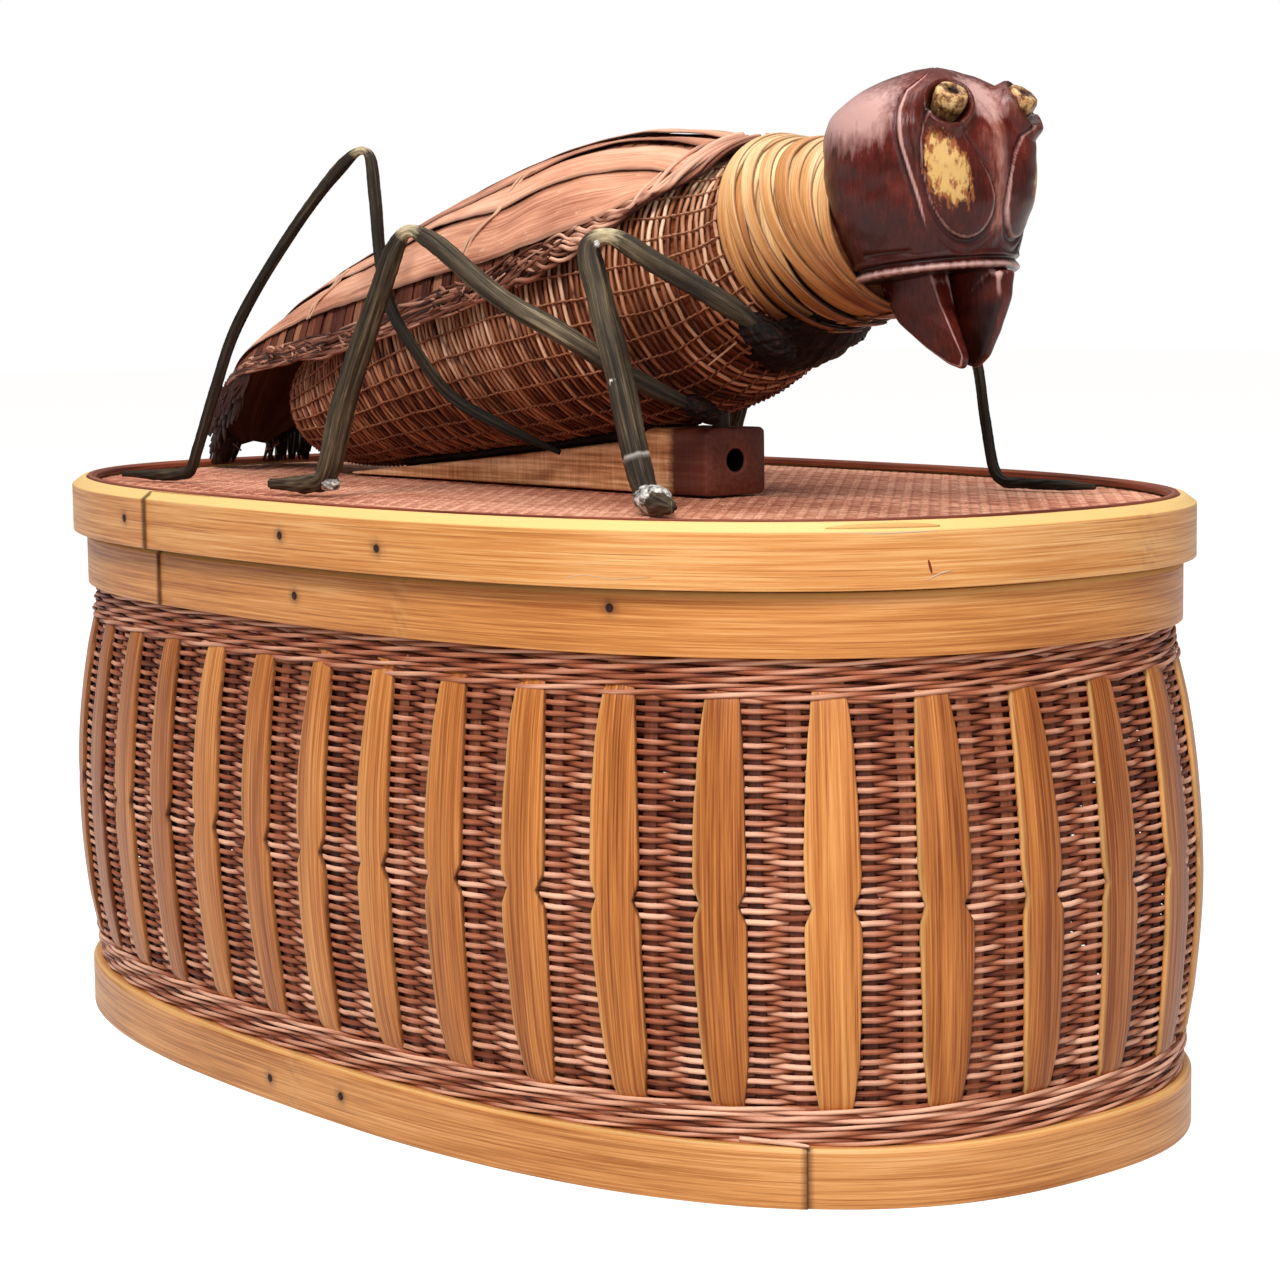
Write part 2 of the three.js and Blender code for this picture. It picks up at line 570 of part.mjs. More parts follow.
// Legs: bent twigs. The last points of each lie along the lid, which the foot rests on.
const foot = (radius) => PANEL_TOP + GAP + radius;
const legs = {
  right_front_leg: [2.2, [[85.6, -14.2, 168.4], [81.5, -23, 176], [71.5, -36, 186], [63.5, -44, 192.4],
    [60.5, -46, 190.6], [64.7, -47, 178.9], [71.1, -47, 162], [77, -47, 144.5], [80.5, -47.5, foot(3.6)],
    [84, -49, foot(2.5)], [97, -55, foot(2.3)]]],
  right_middle_leg: [2.1, [[59, -13, 154], [53.3, -27, 161], [41.8, -40, 171.8], [29.5, -47, 179.5],
    [13.3, -54, 192.6], [7.5, -56, 194.6], [4.4, -57, 191.5], [-0.9, -58, 181.6], [-13, -60, 156.7],
    [-20.5, -61, foot(4)], [-24, -62, foot(2.6)], [-36, -66, foot(2.2)]]],
  right_hind_leg: [1.35, [[5.2, -12, 143.2], [-2.1, -24, 149.9], [-10.8, -32, 157], [-16.1, -38, 167.6],
    [-19.6, -42, 177], [-20.4, -44, 187.4], [-19.5, -46, 203.5], [-20, -47, 212.6], [-23.5, -47, 213.8],
    [-30.7, -48, 210], [-49.7, -50, 195], [-72.2, -52, 172.4], [-80.7, -53, 157.6], [-88, -54, 143],
    [-91.2, -54.6, foot(2.4)], [-95, -56, foot(1.6)], [-113, -61, foot(1.4)]]],
  left_front_leg: [1.15, [[76, 13, 168], [71, 26.4, 178], [66.5, 42, 189], [64.5, 50, 194.6], [62.6, 53, 193],
    [66, 54, 182], [74, 56, 165.1], [77.2, 56, 150.2], [80.4, 56, 138.6], [83, 56.2, foot(1.6)],
    [88, 57, foot(1.3)], [108, 59.5, foot(1.2)]]],
};
const mirrored = (route, drop) => route.map(([x, y, z]) => [x, -y, z - (z > 150 ? drop : 0)]);
legs.left_middle_leg = [2, [[38, 27.4, 161.6], [34, 35, 167], ...mirrored(legs.right_middle_leg[1].slice(3), 3)]];
legs.left_hind_leg = [1.3, mirrored(legs.right_hind_leg[1], 4)];
for (const [name, [radius, route]] of Object.entries(legs)) {
  add(name, twig(route, radius, 6, 2 * route.length), 'twig');
}

export default part;
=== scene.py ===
import json
import math

import bpy
import numpy as np
from mathutils import Matrix, Vector

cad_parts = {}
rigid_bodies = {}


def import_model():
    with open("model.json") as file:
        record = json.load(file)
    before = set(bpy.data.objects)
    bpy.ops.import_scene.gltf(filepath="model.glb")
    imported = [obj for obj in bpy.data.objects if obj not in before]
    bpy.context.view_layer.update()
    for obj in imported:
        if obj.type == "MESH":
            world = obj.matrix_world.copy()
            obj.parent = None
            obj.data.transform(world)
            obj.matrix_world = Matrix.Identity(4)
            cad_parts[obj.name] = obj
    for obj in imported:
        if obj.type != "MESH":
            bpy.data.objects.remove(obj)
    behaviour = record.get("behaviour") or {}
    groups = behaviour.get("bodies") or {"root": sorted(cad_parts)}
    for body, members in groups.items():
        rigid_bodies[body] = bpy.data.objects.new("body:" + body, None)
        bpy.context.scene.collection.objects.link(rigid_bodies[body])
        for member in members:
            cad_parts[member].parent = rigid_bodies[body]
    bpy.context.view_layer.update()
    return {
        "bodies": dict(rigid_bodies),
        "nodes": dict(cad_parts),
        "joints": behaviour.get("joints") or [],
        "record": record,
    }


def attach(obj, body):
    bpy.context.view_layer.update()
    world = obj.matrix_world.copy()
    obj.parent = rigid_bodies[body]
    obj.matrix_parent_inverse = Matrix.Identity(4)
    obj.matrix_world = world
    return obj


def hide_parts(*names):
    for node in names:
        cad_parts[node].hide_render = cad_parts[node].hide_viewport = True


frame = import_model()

MM = 0.001

# Outline of the box, as in the solids: |x/a|^p + |y/b|^p = 1
OVAL_POWER = 2.5
LID = (157.6, 95.8, 1.0)
RIM = (155.6, 92.0, 1.0)
BASE = (161.0, 91.0, 0.0)
BASE_TOP = 12.3
RIM_BOTTOM = 109.3
RIM_TOP = 122.3
LID_BOTTOM = 122.7
PANEL_TOP = 134.4
PANEL_THICK = 2.2
BEAD_TOP = 136.4
WALL_OUT = 4.0
WALL_BULGE = 1.2
SLATS = 38
SLAT_SHIFT = -2.0


# Shapes: arrays of points in mm, and the mesh pieces made from them

UP = np.array([0, 0, 1.0])
LEFT = np.array([0, 1.0, 0])
ONE_TURN = 6.283         # in radians, where a share of the way round is wanted
SIDE_GIRTH = 0.8         # mm of a UV for each side of a tube, unless more is known


def turns(count):
    """Angles once round, without the last one."""
    return np.arange(count) * 2 * np.pi / count


def unit(vectors):
    """The vectors at length one."""
    return vectors / np.maximum(np.linalg.norm(vectors, axis=-1, keepdims=True), 1e-12)


def smooth(value, low, high):
    """0 below low, 1 above high and 3t^2 - 2t^3 in between."""
    t = np.clip((value - low) / (high - low), 0, 1)
    return t * t * (3 - 2 * t)


def bump(value, middle, reach):
    """A rounded hill 1 high at the middle, exp(-(distance/reach)^2)."""
    return np.exp(-((value - middle) / reach) ** 2)


def wobble(value, seed, waves):
    """A handmade unevenness within about -1..1: sines of the given numbers of waves over 0..1."""
    random = np.random.default_rng(seed)
    total = 0
    for count in waves:
        total = total + random.uniform(0.5, 1) * np.sin(2 * np.pi * (count * value + random.uniform()))
    return total / len(waves)


def wobbles(value, seed, count, waves):
    """A row of unevenness for each of a count of strands."""
    return np.stack([wobble(value, seed + k, waves) for k in range(count)])


def drawn(random, shape, limit):
    """Normal random numbers, cut off at a limit both ways."""
    return random.normal(size=shape).clip(-limit, limit)


def signed_power(value, power):
    """The power of a value's size, with its sign."""
    return np.sign(value) * np.abs(value) ** power


def lengths_along(points):
    """The distance along a line of points to each of them."""
    return np.concatenate([[0], np.cumsum(np.linalg.norm(np.diff(points, axis=0), axis=-1))])


def columns_along(line, steps):
    """The columns of a table of knots, each as evenly many steps between its rows."""
    table = np.array(line, float)
    share, knots = np.linspace(0, 1, steps), np.linspace(0, 1, len(table))
    return [np.interp(share, knots, column) for column in table.T]


def tubes(points, closed=False, length=None, girth=None, **shades):
    """Skin over tubes. points is (tube, step, side, 3), or (step, side, 3) for one tube. A
    closed tube's last step joins its first, and an open one ends in a fan on its middle.
    length gives a UV's u for each step, girth its v for each side, in mm."""
    points = points.reshape((-1,) + points.shape[-3:])
    count, steps, sides = points.shape[:3]
    grid = np.arange(count * steps * sides).reshape(count, steps, sides)
    here = grid if closed else grid[:, :-1]
    ahead = np.roll(grid, -1, 1) if closed else grid[:, 1:]
    quads = np.stack([here, np.roll(here, -1, 2), np.roll(ahead, -1, 2), ahead], -1).reshape(-1, 4)
    if length is None:
        middle = points.mean(2)
        hops = np.linalg.norm(np.diff(middle, axis=1, append=middle[:, :1]), axis=-1)
        length = np.concatenate([np.zeros((count, 1)), np.cumsum(hops, 1)], 1)[:, :steps + closed]
    if girth is None:
        girth = np.arange(sides + 1) * SIDE_GIRTH
    whole = (count, steps + closed, sides + 1)
    u = np.broadcast_to(np.broadcast_to(length, whole[:2])[..., None], whole)
    uv = np.stack([u, np.broadcast_to(girth, whole)], -1)
    rows = here.shape[1]
    near, far = uv[:, :rows], uv[:, 1:rows + 1]
    quad_uv = np.stack([near[:, :, :-1], near[:, :, 1:], far[:, :, 1:], far[:, :, :-1]], -2)
    verts = points.reshape(-1, 3)
    shades = {name: np.broadcast_to(value, grid.shape) for name, value in shades.items()}
    fans = np.zeros((0, 3), int)
    fan_uv = np.zeros((0, 3, 2))
    if not closed:
        first = len(verts) + np.arange(count)
        beside = np.roll(grid, -1, 2)
        start = [np.broadcast_to(first[:, None], (count, sides)), beside[:, 0], grid[:, 0]]
        stop = [np.broadcast_to(first[:, None] + count, (count, sides)), grid[:, -1], beside[:, -1]]
        fans = np.concatenate([np.stack(corners, -1).reshape(-1, 3) for corners in (start, stop)])
        fan_uv = np.concatenate([uv[:, 0, :-1].reshape(-1, 1, 2), uv[:, steps - 1, :-1].reshape(-1, 1, 2)])
        fan_uv = np.repeat(fan_uv, 3, axis=1)
        verts = np.concatenate([verts, points[:, 0].mean(1), points[:, -1].mean(1)])
    ends = () if closed else (0, -1)
    shades = {name: np.concatenate([value.reshape(-1)] + [value[:, end].mean(-1) for end in ends])
              for name, value in shades.items()}
    return turned_out((verts, quads, fans, quad_uv.reshape(-1, 4, 2), fan_uv, shades))


def turned_out(patch):
    """The same skin with its faces pointing out, told by the sign of the volume that it holds."""
    verts, quads, fans, quad_uv, fan_uv, shades = patch
    halves = np.concatenate([quads[:, [0, 1, 2]], quads[:, [0, 2, 3]], fans])
    a, b, c = (verts[halves[:, k]] for k in range(3))
    if (a * np.cross(b, c)).sum() >= 0:
        return patch
    return verts, quads[:, ::-1], fans[:, ::-1], quad_uv[:, ::-1], fan_uv[:, ::-1], shades


SHADES = ("tint", "pale", "dark", "mark")


def piece(name, patches, material, body, nodes=(), crease=None):
    """One mesh object from skins. Each point also carries four shades for its material."""
    verts, quads, fans, quad_uv, fan_uv = [], [], [], [], []
    shades = {shade: [] for shade in SHADES}
    base = 0
    for patch in patches:
        for held, part, shift in zip((verts, quads, fans, quad_uv, fan_uv), patch, (0, base, base, 0, 0)):
            held.append(part + shift)
        for shade in SHADES:
            shades[shade].append(np.broadcast_to(patch[5].get(shade, 0.0), len(patch[0])))
        base += len(patch[0])
    verts, quads, fans = np.concatenate(verts), np.concatenate(quads), np.concatenate(fans)
    mesh = bpy.data.meshes.new(name)
    mesh.vertices.add(len(verts))
    mesh.vertices.foreach_set("co", (verts * MM).astype(np.float32).ravel())
    corners = np.concatenate([quads.ravel(), fans.ravel()]).astype(np.int32)
    mesh.loops.add(len(corners))
    mesh.loops.foreach_set("vertex_index", corners)
    starts = np.concatenate([np.arange(len(quads)) * 4, 4 * len(quads) + np.arange(len(fans)) * 3])
    mesh.polygons.add(len(starts))
    mesh.polygons.foreach_set("loop_start", starts.astype(np.int32))
    mesh.update(calc_edges=True)
    uv = mesh.uv_layers.new(name="mm")
    places = np.concatenate([part.reshape(-1, 2) for part in quad_uv + fan_uv])
    uv.uv.foreach_set("vector", places.astype(np.float32).ravel())
    for shade in SHADES:
        layer = mesh.attributes.new(shade, "FLOAT", "POINT")
        layer.data.foreach_set("value", np.concatenate(shades[shade]).astype(np.float32))
    mesh.validate()
    mesh.shade_smooth()
    if crease:
        mesh.set_sharp_from_angle(angle=math.radians(crease))
    mesh.materials.append(material)
    made = bpy.data.objects.new(name, mesh)
    bpy.context.scene.collection.objects.link(made)
    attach(made, body)
    if nodes:
        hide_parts(*nodes)
    return made


def round_section(sides):
    """A unit circle as (sides, 2)."""
    angle = turns(sides)
    return np.stack([np.cos(angle), np.sin(angle)], -1)

def flat_section(sides, squareness):
    """A flat strip's section |x|^n + |y|^n = 1, with n the squareness."""
    angle = turns(sides)
    return signed_power(np.stack([np.cos(angle), np.sin(angle)], -1), 2 / squareness)


def strands(centres, across, outward, half_width, half_thick, section):
    """Points of strips along paths: centre + across * width * x + outward * thickness * y, for
    (..., step, 3) arrays and a (side, 2) section."""
    half_width = np.broadcast_to(half_width, centres.shape[:-1])[..., None, None]
    half_thick = np.broadcast_to(half_thick, centres.shape[:-1])[..., None, None]
    return (centres[..., None, :] + across[..., None, :] * half_width * section[:, :1]
            + outward[..., None, :] * half_thick * section[:, 1:])


def laid(surface, place, over, half_width, half_thick, section, closed=False, across=None):
    """Strips that lie on a surface, a function of two coordinates and the height over it."""
    centres = surface(*place, over)
    outward = unit(surface(*place, over + 1) - centres)
    if across is None:
        rise = np.roll(centres, -1, -2) - np.roll(centres, 1, -2) if closed else np.gradient(centres, axis=-2)
        across = np.cross(outward, unit(rise))
    return strands(centres, np.broadcast_to(across, centres.shape), outward, half_width, half_thick, section)


class Oval:
    """The outline as points by the fraction of the way round, from the front's middle to +X."""

    def __init__(self, half_length, half_width, middle):
        angle = np.linspace(-np.pi / 2, 1.5 * np.pi, 8193)
        self.size = np.array([half_length, half_width])
        self.middle = np.array([middle, 0.0])
        circle = np.stack([np.cos(angle), np.sin(angle)], -1)
        self.points = self.middle + self.size * signed_power(circle, 2 / OVAL_POWER)
        self.lengths = lengths_along(self.points)
        self.round = self.lengths[-1]

    def at(self, fraction, inset):
        """Points at a fraction of the way round, moved in square to the outline."""
        target = np.mod(fraction, 1) * self.round
        place = np.stack([np.interp(target, self.lengths, self.points[:, k]) for k in (0, 1)], -1)
        out = unit(signed_power((place - self.middle) / self.size, OVAL_POWER - 1) / self.size)
        return place - out * np.asarray(inset)[..., None]

    def apart(self, place, at):
        """The distance round the outline from one fraction to another, with its sign."""
        return (np.mod(place - at + 0.5, 1) - 0.5) * self.round


lid_oval, rim_oval, base_oval = Oval(*LID), Oval(*RIM), Oval(*BASE)


def raised(flat, z):
    """Level points with a height."""
    z = np.broadcast_to(z, flat.shape[:-1])
    return np.concatenate([flat, z[..., None]], -1)


def wall_point(fraction, z, out):
    """A point of the wall: between the base and rim outlines, bellied by a half sine, and out
    from the weave's middle face by a distance."""
    fraction, z, out = np.broadcast_arrays(fraction, z, out)
    rise = np.clip((z - BASE_TOP) / (RIM_BOTTOM - BASE_TOP), 0, 1)
    inset = WALL_OUT - (WALL_OUT + WALL_BULGE) * np.sin(np.pi * rise) - out
    low, high = base_oval.at(fraction, inset), rim_oval.at(fraction, inset)
    return raised(low + (high - low) * rise[..., None], z)


wall_round = (base_oval.round + rim_oval.round) / 2


# Finishes

def linear(code):
    """An sRGB hex colour as the linear values that a shader takes."""
    parts = [int(code[k:k + 2], 16) / 255 for k in (1, 3, 5)]
    return tuple(c / 12.92 if c <= 0.04045 else ((c + 0.055) / 1.055) ** 2.4 for c in parts) + (1.0,)


def add_node(tree, kind, inputs=None, stops=None, out=0, **settings):
    """Adds a shader node with its settings, its inputs set or linked and the stops of a ramp,
    and gives one of its outputs."""
    made = tree.nodes.new(kind)
    for name, value in settings.items():
        setattr(made, name, value)
    for key, value in (inputs or {}).items():
        if isinstance(value, bpy.types.NodeSocket):
            tree.links.new(value, made.inputs[key])
        else:
            made.inputs[key].default_value = linear(value) if isinstance(value, str) else value
    if stops:
        elements = made.color_ramp.elements
        while len(elements) < len(stops):
            elements.new(0.5)
        for element, (place, colour) in zip(elements, stops):
            element.position = place
            element.color = linear(colour)
    return made.outputs[out]


def finish(name, roughness, stops, grain, layers, depth=0.1, on_object=False, **sockets):
    """A material from numbers. Its colour runs through stops by the piece's tint plus noises,
    [weight, lengths, detail, roughness, shift], whose features are about as long as the
    lengths in mm. Layers of colour lie over it: [colour, shade, strength] follows a shade of
    the piece, and [colour, shade, strength, weight, lengths, low, high] makes it ragged by a
    noise. The first noise also gives a relief of a depth in mm."""
    material = bpy.data.materials.new(name)
    material.use_nodes = True
    tree = material.node_tree
    shader = tree.nodes["Principled BSDF"]
    shader.inputs["Roughness"].default_value = roughness
    for key, value in sockets.items():
        shader.inputs[key.replace("_", " ")].default_value = value
    if on_object:
        place = add_node(tree, "ShaderNodeTexCoord", out="Object")
        place = add_node(tree, "ShaderNodeMapping", {"Vector": place, "Scale": (1000, 1000, 1000)})
    else:
        place = add_node(tree, "ShaderNodeUVMap", uv_map="mm")
    shades = {shade: add_node(tree, "ShaderNodeAttribute", out="Fac", attribute_name=shade)
              for shade in SHADES}
    # every noise is made here: first the grain's, then those of the ragged layers
    ragged = {number: layer[3:] for number, layer in enumerate(layers) if len(layer) > 3}
    specs = [spec[1:] for spec in grain] + [
        (lengths, 4, 0.65, 5.0 + 3 * number) for number, (_, lengths, _, _) in ragged.items()]
    noises = []
    for lengths, detail, rough, shift in specs:
        moved = add_node(tree, "ShaderNodeMapping", {
            "Vector": place, "Scale": tuple(1 / length for length in lengths), "Location": (shift,) * 3})
        noises.append(add_node(tree, "ShaderNodeTexNoise", {
            "Vector": moved, "Scale": 1.0, "Detail": detail, "Roughness": rough}, out="Fac"))
    value = shades["tint"]
    for made, (weight, *_) in zip(noises, grain):
        value = add_node(tree, "ShaderNodeMath", {0: made, 1: weight, 2: value}, operation="MULTIPLY_ADD")
    colour = add_node(tree, "ShaderNodeValToRGB", {"Fac": value}, stops, "Color")
    patches = dict(zip(ragged, noises[len(grain):]))
    for number, (cover, shade, strength, *_) in enumerate(layers):
        share = shades[shade] if shade else 0.0
        weight, _, low, high = ragged.get(number, (0, 0, 0.0, 1.0))
        if number in patches:
            share = add_node(tree, "ShaderNodeMath", {0: patches[number], 1: weight, 2: share},
                             operation="MULTIPLY_ADD")
        share = add_node(tree, "ShaderNodeMapRange", {
            "Value": share, "From Min": low, "From Max": high, "To Min": 0.0, "To Max": strength})
        colour = add_node(tree, "ShaderNodeMix", {0: share, 6: colour, 7: cover}, None, 2, data_type="RGBA")
    tree.links.new(colour, shader.inputs["Base Color"])
    relief = add_node(tree, "ShaderNodeBump", {"Height": noises[0], "Distance": depth * MM, "Strength": 1.0})
    tree.links.new(relief, shader.inputs["Normal"])
    return material


def bamboo(name, deep, middle, light, roughness=0.42, edge="#E8BE78"):
    """Split bamboo, scraped and oiled: fibres about 0.5 mm wide with darker pores between."""
    return finish(name, roughness, [(0.43, deep), (0.61, middle), (0.81, light)],
                  [[0.72, (38, 0.5, 0.5), 5, 0.65, 3.7], [0.46, (120, 6, 6), 4, 0.6, 0.0]],
                  [[deep, None, 0.75, 1.0, (60, 0.55, 0.55), 0.56, 0.66], [edge, "pale", 1],
                   ["#30120A", "dark", 1], ["#A83A1E", "mark", 1]], 0.15, Specular_IOR_Level=0.3)


def cane(name, deep, middle, light, roughness=0.5):
    """Split cane dyed by age, with fine fibres along it. Each strand has its own tint, to which
    some pieces add painted light and shade, as they do to the pale and dark layers.
    """
    return finish(name, roughness, [(0.22, deep), (0.45, middle), (0.72, light)],
                  [[0.4, (9, 0.3, 0.3), 3, 0.6, 0.0], [0.4, (30, 8, 8), 2, 0.5, 5.0]],
                  [["#FFE2C4", "pale", 1], ["#200804", "dark", 1]], 0.08, Specular_IOR_Level=0.22)


def splint(name, deep, middle, light, roughness=0.5, sheen=0.25):
    """Flat shaved splints: broad strips with straight fibres, darker along their edges, which
    is painted shade where strips meet and overlap.
    """
    return finish(name, roughness, [(0.3, deep), (0.52, middle), (0.76, light)],
                  [[0.5, (26, 0.35, 0.35), 5, 0.62, 1.3], [0.55, (34, 6, 6), 4, 0.6, 7.7]],
                  [[light, None, 0.4, 1.0, (4, 1.2, 1.2), 0.62, 0.72], ["#FFE9CC", "pale", 1],
                   ["#220A05", "dark", 1]], Specular_IOR_Level=sheen)


hoop_bamboo = bamboo("honey_bamboo_hoop", "#A25A22", "#D68E4A", "#F4BC7C")
base_bamboo = bamboo("brown_bamboo_hoop", "#A05C26", "#DA9656", "#F6BC80")
inner_bamboo = bamboo("reddened_inner_bamboo", "#4C1E12", "#84402A", "#B06A48", 0.5, "#D8A070")
slat_bamboo = bamboo("golden_bamboo_slat", "#803C0E", "#C47838", "#EAA660")
red_wax = finish("red_wax", 0.5, [(0.3, "#7A1408"), (0.6, "#B8301C")], [[0.5, (2, 2, 2), 3, 0.6, 0.0]], [])
wall_cane = cane("pink_brown_wall_cane", "#4A1506", "#A65E40", "#F4BC9E")
stake_cane = cane("dark_wall_stake", "#300C04", "#64301C", "#A06448", 0.6)
pin_wood = cane("dark_pin_wood", "#140503", "#2E1008", "#4E2212")
body_cane = cane("body_stick_cane", "#4A1A0A", "#A86A4A", "#F6CAA8")
braid_cane = cane("dark_braid_cane", "#32120A", "#86503C", "#DCA88E")
body_ground = splint("body_lining_splint", "#4A180A", "#84401E", "#B87044", 0.6, 0.15)
wing_splint = splint("salmon_wing_splint", "#84402A", "#DA9A7A", "#FFD2B4")
under_splint = splint("brown_cross_splint", "#34120A", "#743E2C", "#B07858", 0.65, 0.15)
neck_splint = splint("tan_neck_splint", "#74340E", "#CC8C50", "#FFDAA4", 0.36, 0.4)
panel_splint = finish(         # salmon to orange, darker in the gaps of the twill as painted shade
    "twilled_splint_panel", 0.7, [(0.4, "#823C2A"), (0.66, "#C87E62"), (0.9, "#FCBC9C")],
    [[0.75, (5, 0.5, 2), 4, 0.65, 2.0], [0.6, (60, 35, 20), 3, 0.55, 0.0]],
    [["#FFC8A4", None, 0.35, 1.0, (3, 1.2, 2), 0.56, 0.66], ["#4A1C10", "dark", 1]],
    on_object=True, Specular_IOR_Level=0.15)
stem = finish(                 # grey-brown bark with long furrows, torn pale at bends, dots of glue
    "grey_brown_stem", 0.6, [(0.36, "#0E0804"), (0.52, "#352A1E"), (0.64, "#594B38"), (0.8, "#9A8A6C")],
    [[0.75, (16, 0.4, 0.4), 5, 0.65, 0.0], [0.35, (16, 5, 5), 3, 0.6, 4.0]],
    [["#0E0603", "dark", 1], ["#D8C49C", "pale", 1, 0.9, (2.2, 0.7, 0.7), 0.9, 1.3],
     ["#F2ECE0", "mark", 1]], 0.3, Specular_IOR_Level=0.25)
lacquer = finish(              # dark red-brown, rubbed red on ridges, a painted highlight on top, painted shade in the carving, worn paint
    "dark_carved_lacquer", 0.3, [(0.3, "#180403"), (0.5, "#3C100A"), (0.66, "#601E14"), (0.84, "#94503E")],
    [[0.4, (0.8, 0.8, 6), 5, 0.7, 3.0], [0.45, (11, 11, 9), 4, 0.6, 0.0],
     [0.2, (2.5, 2.5, 2.5), 4, 0.7, 8.0]],
    [["#C89C94", "pale", 0.92, 0.8, (1.3, 1.3, 5), 0.62, 1.1], ["#0C0302", "dark", 1],
     ["#9C5A30", "mark", 0.9, 1.9, (1.3, 1.3, 2.6), 1.42, 1.62],
     ["#D4AA68", "mark", 1, 1.9, (1.3, 1.3, 2.6), 1.62, 1.86]],
    0.12, True, Specular_IOR_Level=0.2, Coat_Weight=0.08, Coat_Roughness=0.25)
yellow_paint = finish(         # thick pale paint with the brown wood bare where it is chipped
    "chipped_yellow_paint", 0.45,
    [(0.34, "#2A0E06"), (0.45, "#7A4A26"), (0.54, "#C89A62"), (0.72, "#EED29A")],
    [[1.0, (1.8, 1.8, 1.8), 5, 0.7, 0.0]], [["#2A0C06", "dark", 0.95]], 0.3, True,
    Specular_IOR_Level=0.35)
pitch = finish(                # a lump of black-brown pitch and fibre, also the black bed of painted shade between body and block
    "black_brown_pitch", 0.5, [(0.35, "#060202"), (0.55, "#170806"), (0.75, "#3E1E12")],
    [[1.0, (3.5, 1.5, 1.5), 5, 0.7, 0.0]], [["#2C100A", "pale", 1]], 0.5, True, Specular_IOR_Level=0.1)
white_glue = finish(           # dried glue, greyed by dust in its hollows
    "dried_white_glue", 0.5, [(0.36, "#2E2C2A"), (0.5, "#A09C96"), (0.62, "#E9E4DA")],
    [[1.0, (1.6, 1.6, 1.2), 4, 0.65, 0.0]], [["#3A3632", "dark", 1]], 0.5, True, Specular_IOR_Level=0.4)
block_wood = finish(           # sawn softwood, oiled, its front end dipped in dark red stain
    "sawn_block_wood", 0.45, [(0.34, "#96552F"), (0.48, "#D0905F"), (0.6, "#F4C092")],
    [[0.75, (30, 1.1, 1.1), 5, 0.6, 0.0], [0.25, (0.8, 14, 9), 3, 0.6, 3.0]],
    [["#4E120C", "mark", 0.95, 0.5, (2.5, 1.5, 1.5), 0.45, 0.85], ["#8E4A3A", "pale", 1],
     ["#120302", "dark", 1]], on_object=True, Specular_IOR_Level=0.3)


# The hoops: rounded profiles carried round the outlines

def rounded(corners, radius, steps=3):
    """A profile's corners rounded by arcs, given as (inset, height) points in order."""
    corners = np.array(corners, float)
    back = unit(np.roll(corners, 1, 0) - corners)
    ahead = unit(np.roll(corners, -1, 0) - corners)
    points = []
    for corner, b, a in zip(corners, back, ahead):
        for share in np.linspace(0, 1, steps + 1):
            points.append(corner + radius * (b * (1 - share) ** 2 + a * share ** 2))
    return np.array(points)


def divided(profile, longest):
    """The profile with points added so that no side is longer than a length."""
    points = []
    for here, ahead in zip(profile, np.roll(profile, -1, 0)):
        parts = max(1, int(np.ceil(np.linalg.norm(ahead - here) / longest)))
        points.extend(here + (ahead - here) * k / parts for k in range(parts))
    return np.array(points)


OUTER_FACE = 2.5         # an inset that only the outer part of a hoop lies under
LAP_STEP, LAP_FADE = 0.55, 70


def hoop_skin(oval, profile, shades, seed, lap=None, uneven=0.15, steps=560):
    """A profile of (inset, height) carried round an outline. Its outer face waves a little,
    and at the lap the outer end lies over the inner one: a step that fades out over 70 mm."""
    fraction = np.arange(steps) / steps
    if lap is not None:
        fraction = lap + np.concatenate([[2e-5], fraction[1:], [1 - 2e-5]])
    inset, height = (np.broadcast_to(column, (len(fraction), len(profile))) for column in profile.T)
    outside = inset < OUTER_FACE
    ripple = uneven * wobble(fraction, seed, (3, 5, 8, 13, 21))[:, None]
    inset = inset + np.where(outside, np.abs(ripple), 0)
    upper = profile[:, 1] > profile[:, 1].mean()
    height = height + 0.5 * uneven * wobble(fraction, seed + 50, (2, 5, 9))[:, None] * upper
    if lap is not None:
        beyond = np.mod(fraction - lap, 1) * oval.round
        inset = inset + np.where(outside, LAP_STEP * (1 - smooth(beyond, 0, LAP_FADE))[:, None], 0)
    place = np.broadcast_to(fraction[:, None], inset.shape)
    points = raised(oval.at(place, inset), height)
    girth = lengths_along(np.concatenate([profile, profile[:1]]))
    length = np.append(fraction, fraction[0] + 1) * oval.round
    return tubes(points, True, length, girth, **shades(place, inset, height))


lid_pins = [(-0.071, 129.2), (0.0151, 129.2), (0.0559, 128.2)]
rim_pins = [(0.0147, 115.8), (0.1277, 118.6)]
base_pins = [(-0.004, 5.2), (0.0294, 6.4)]


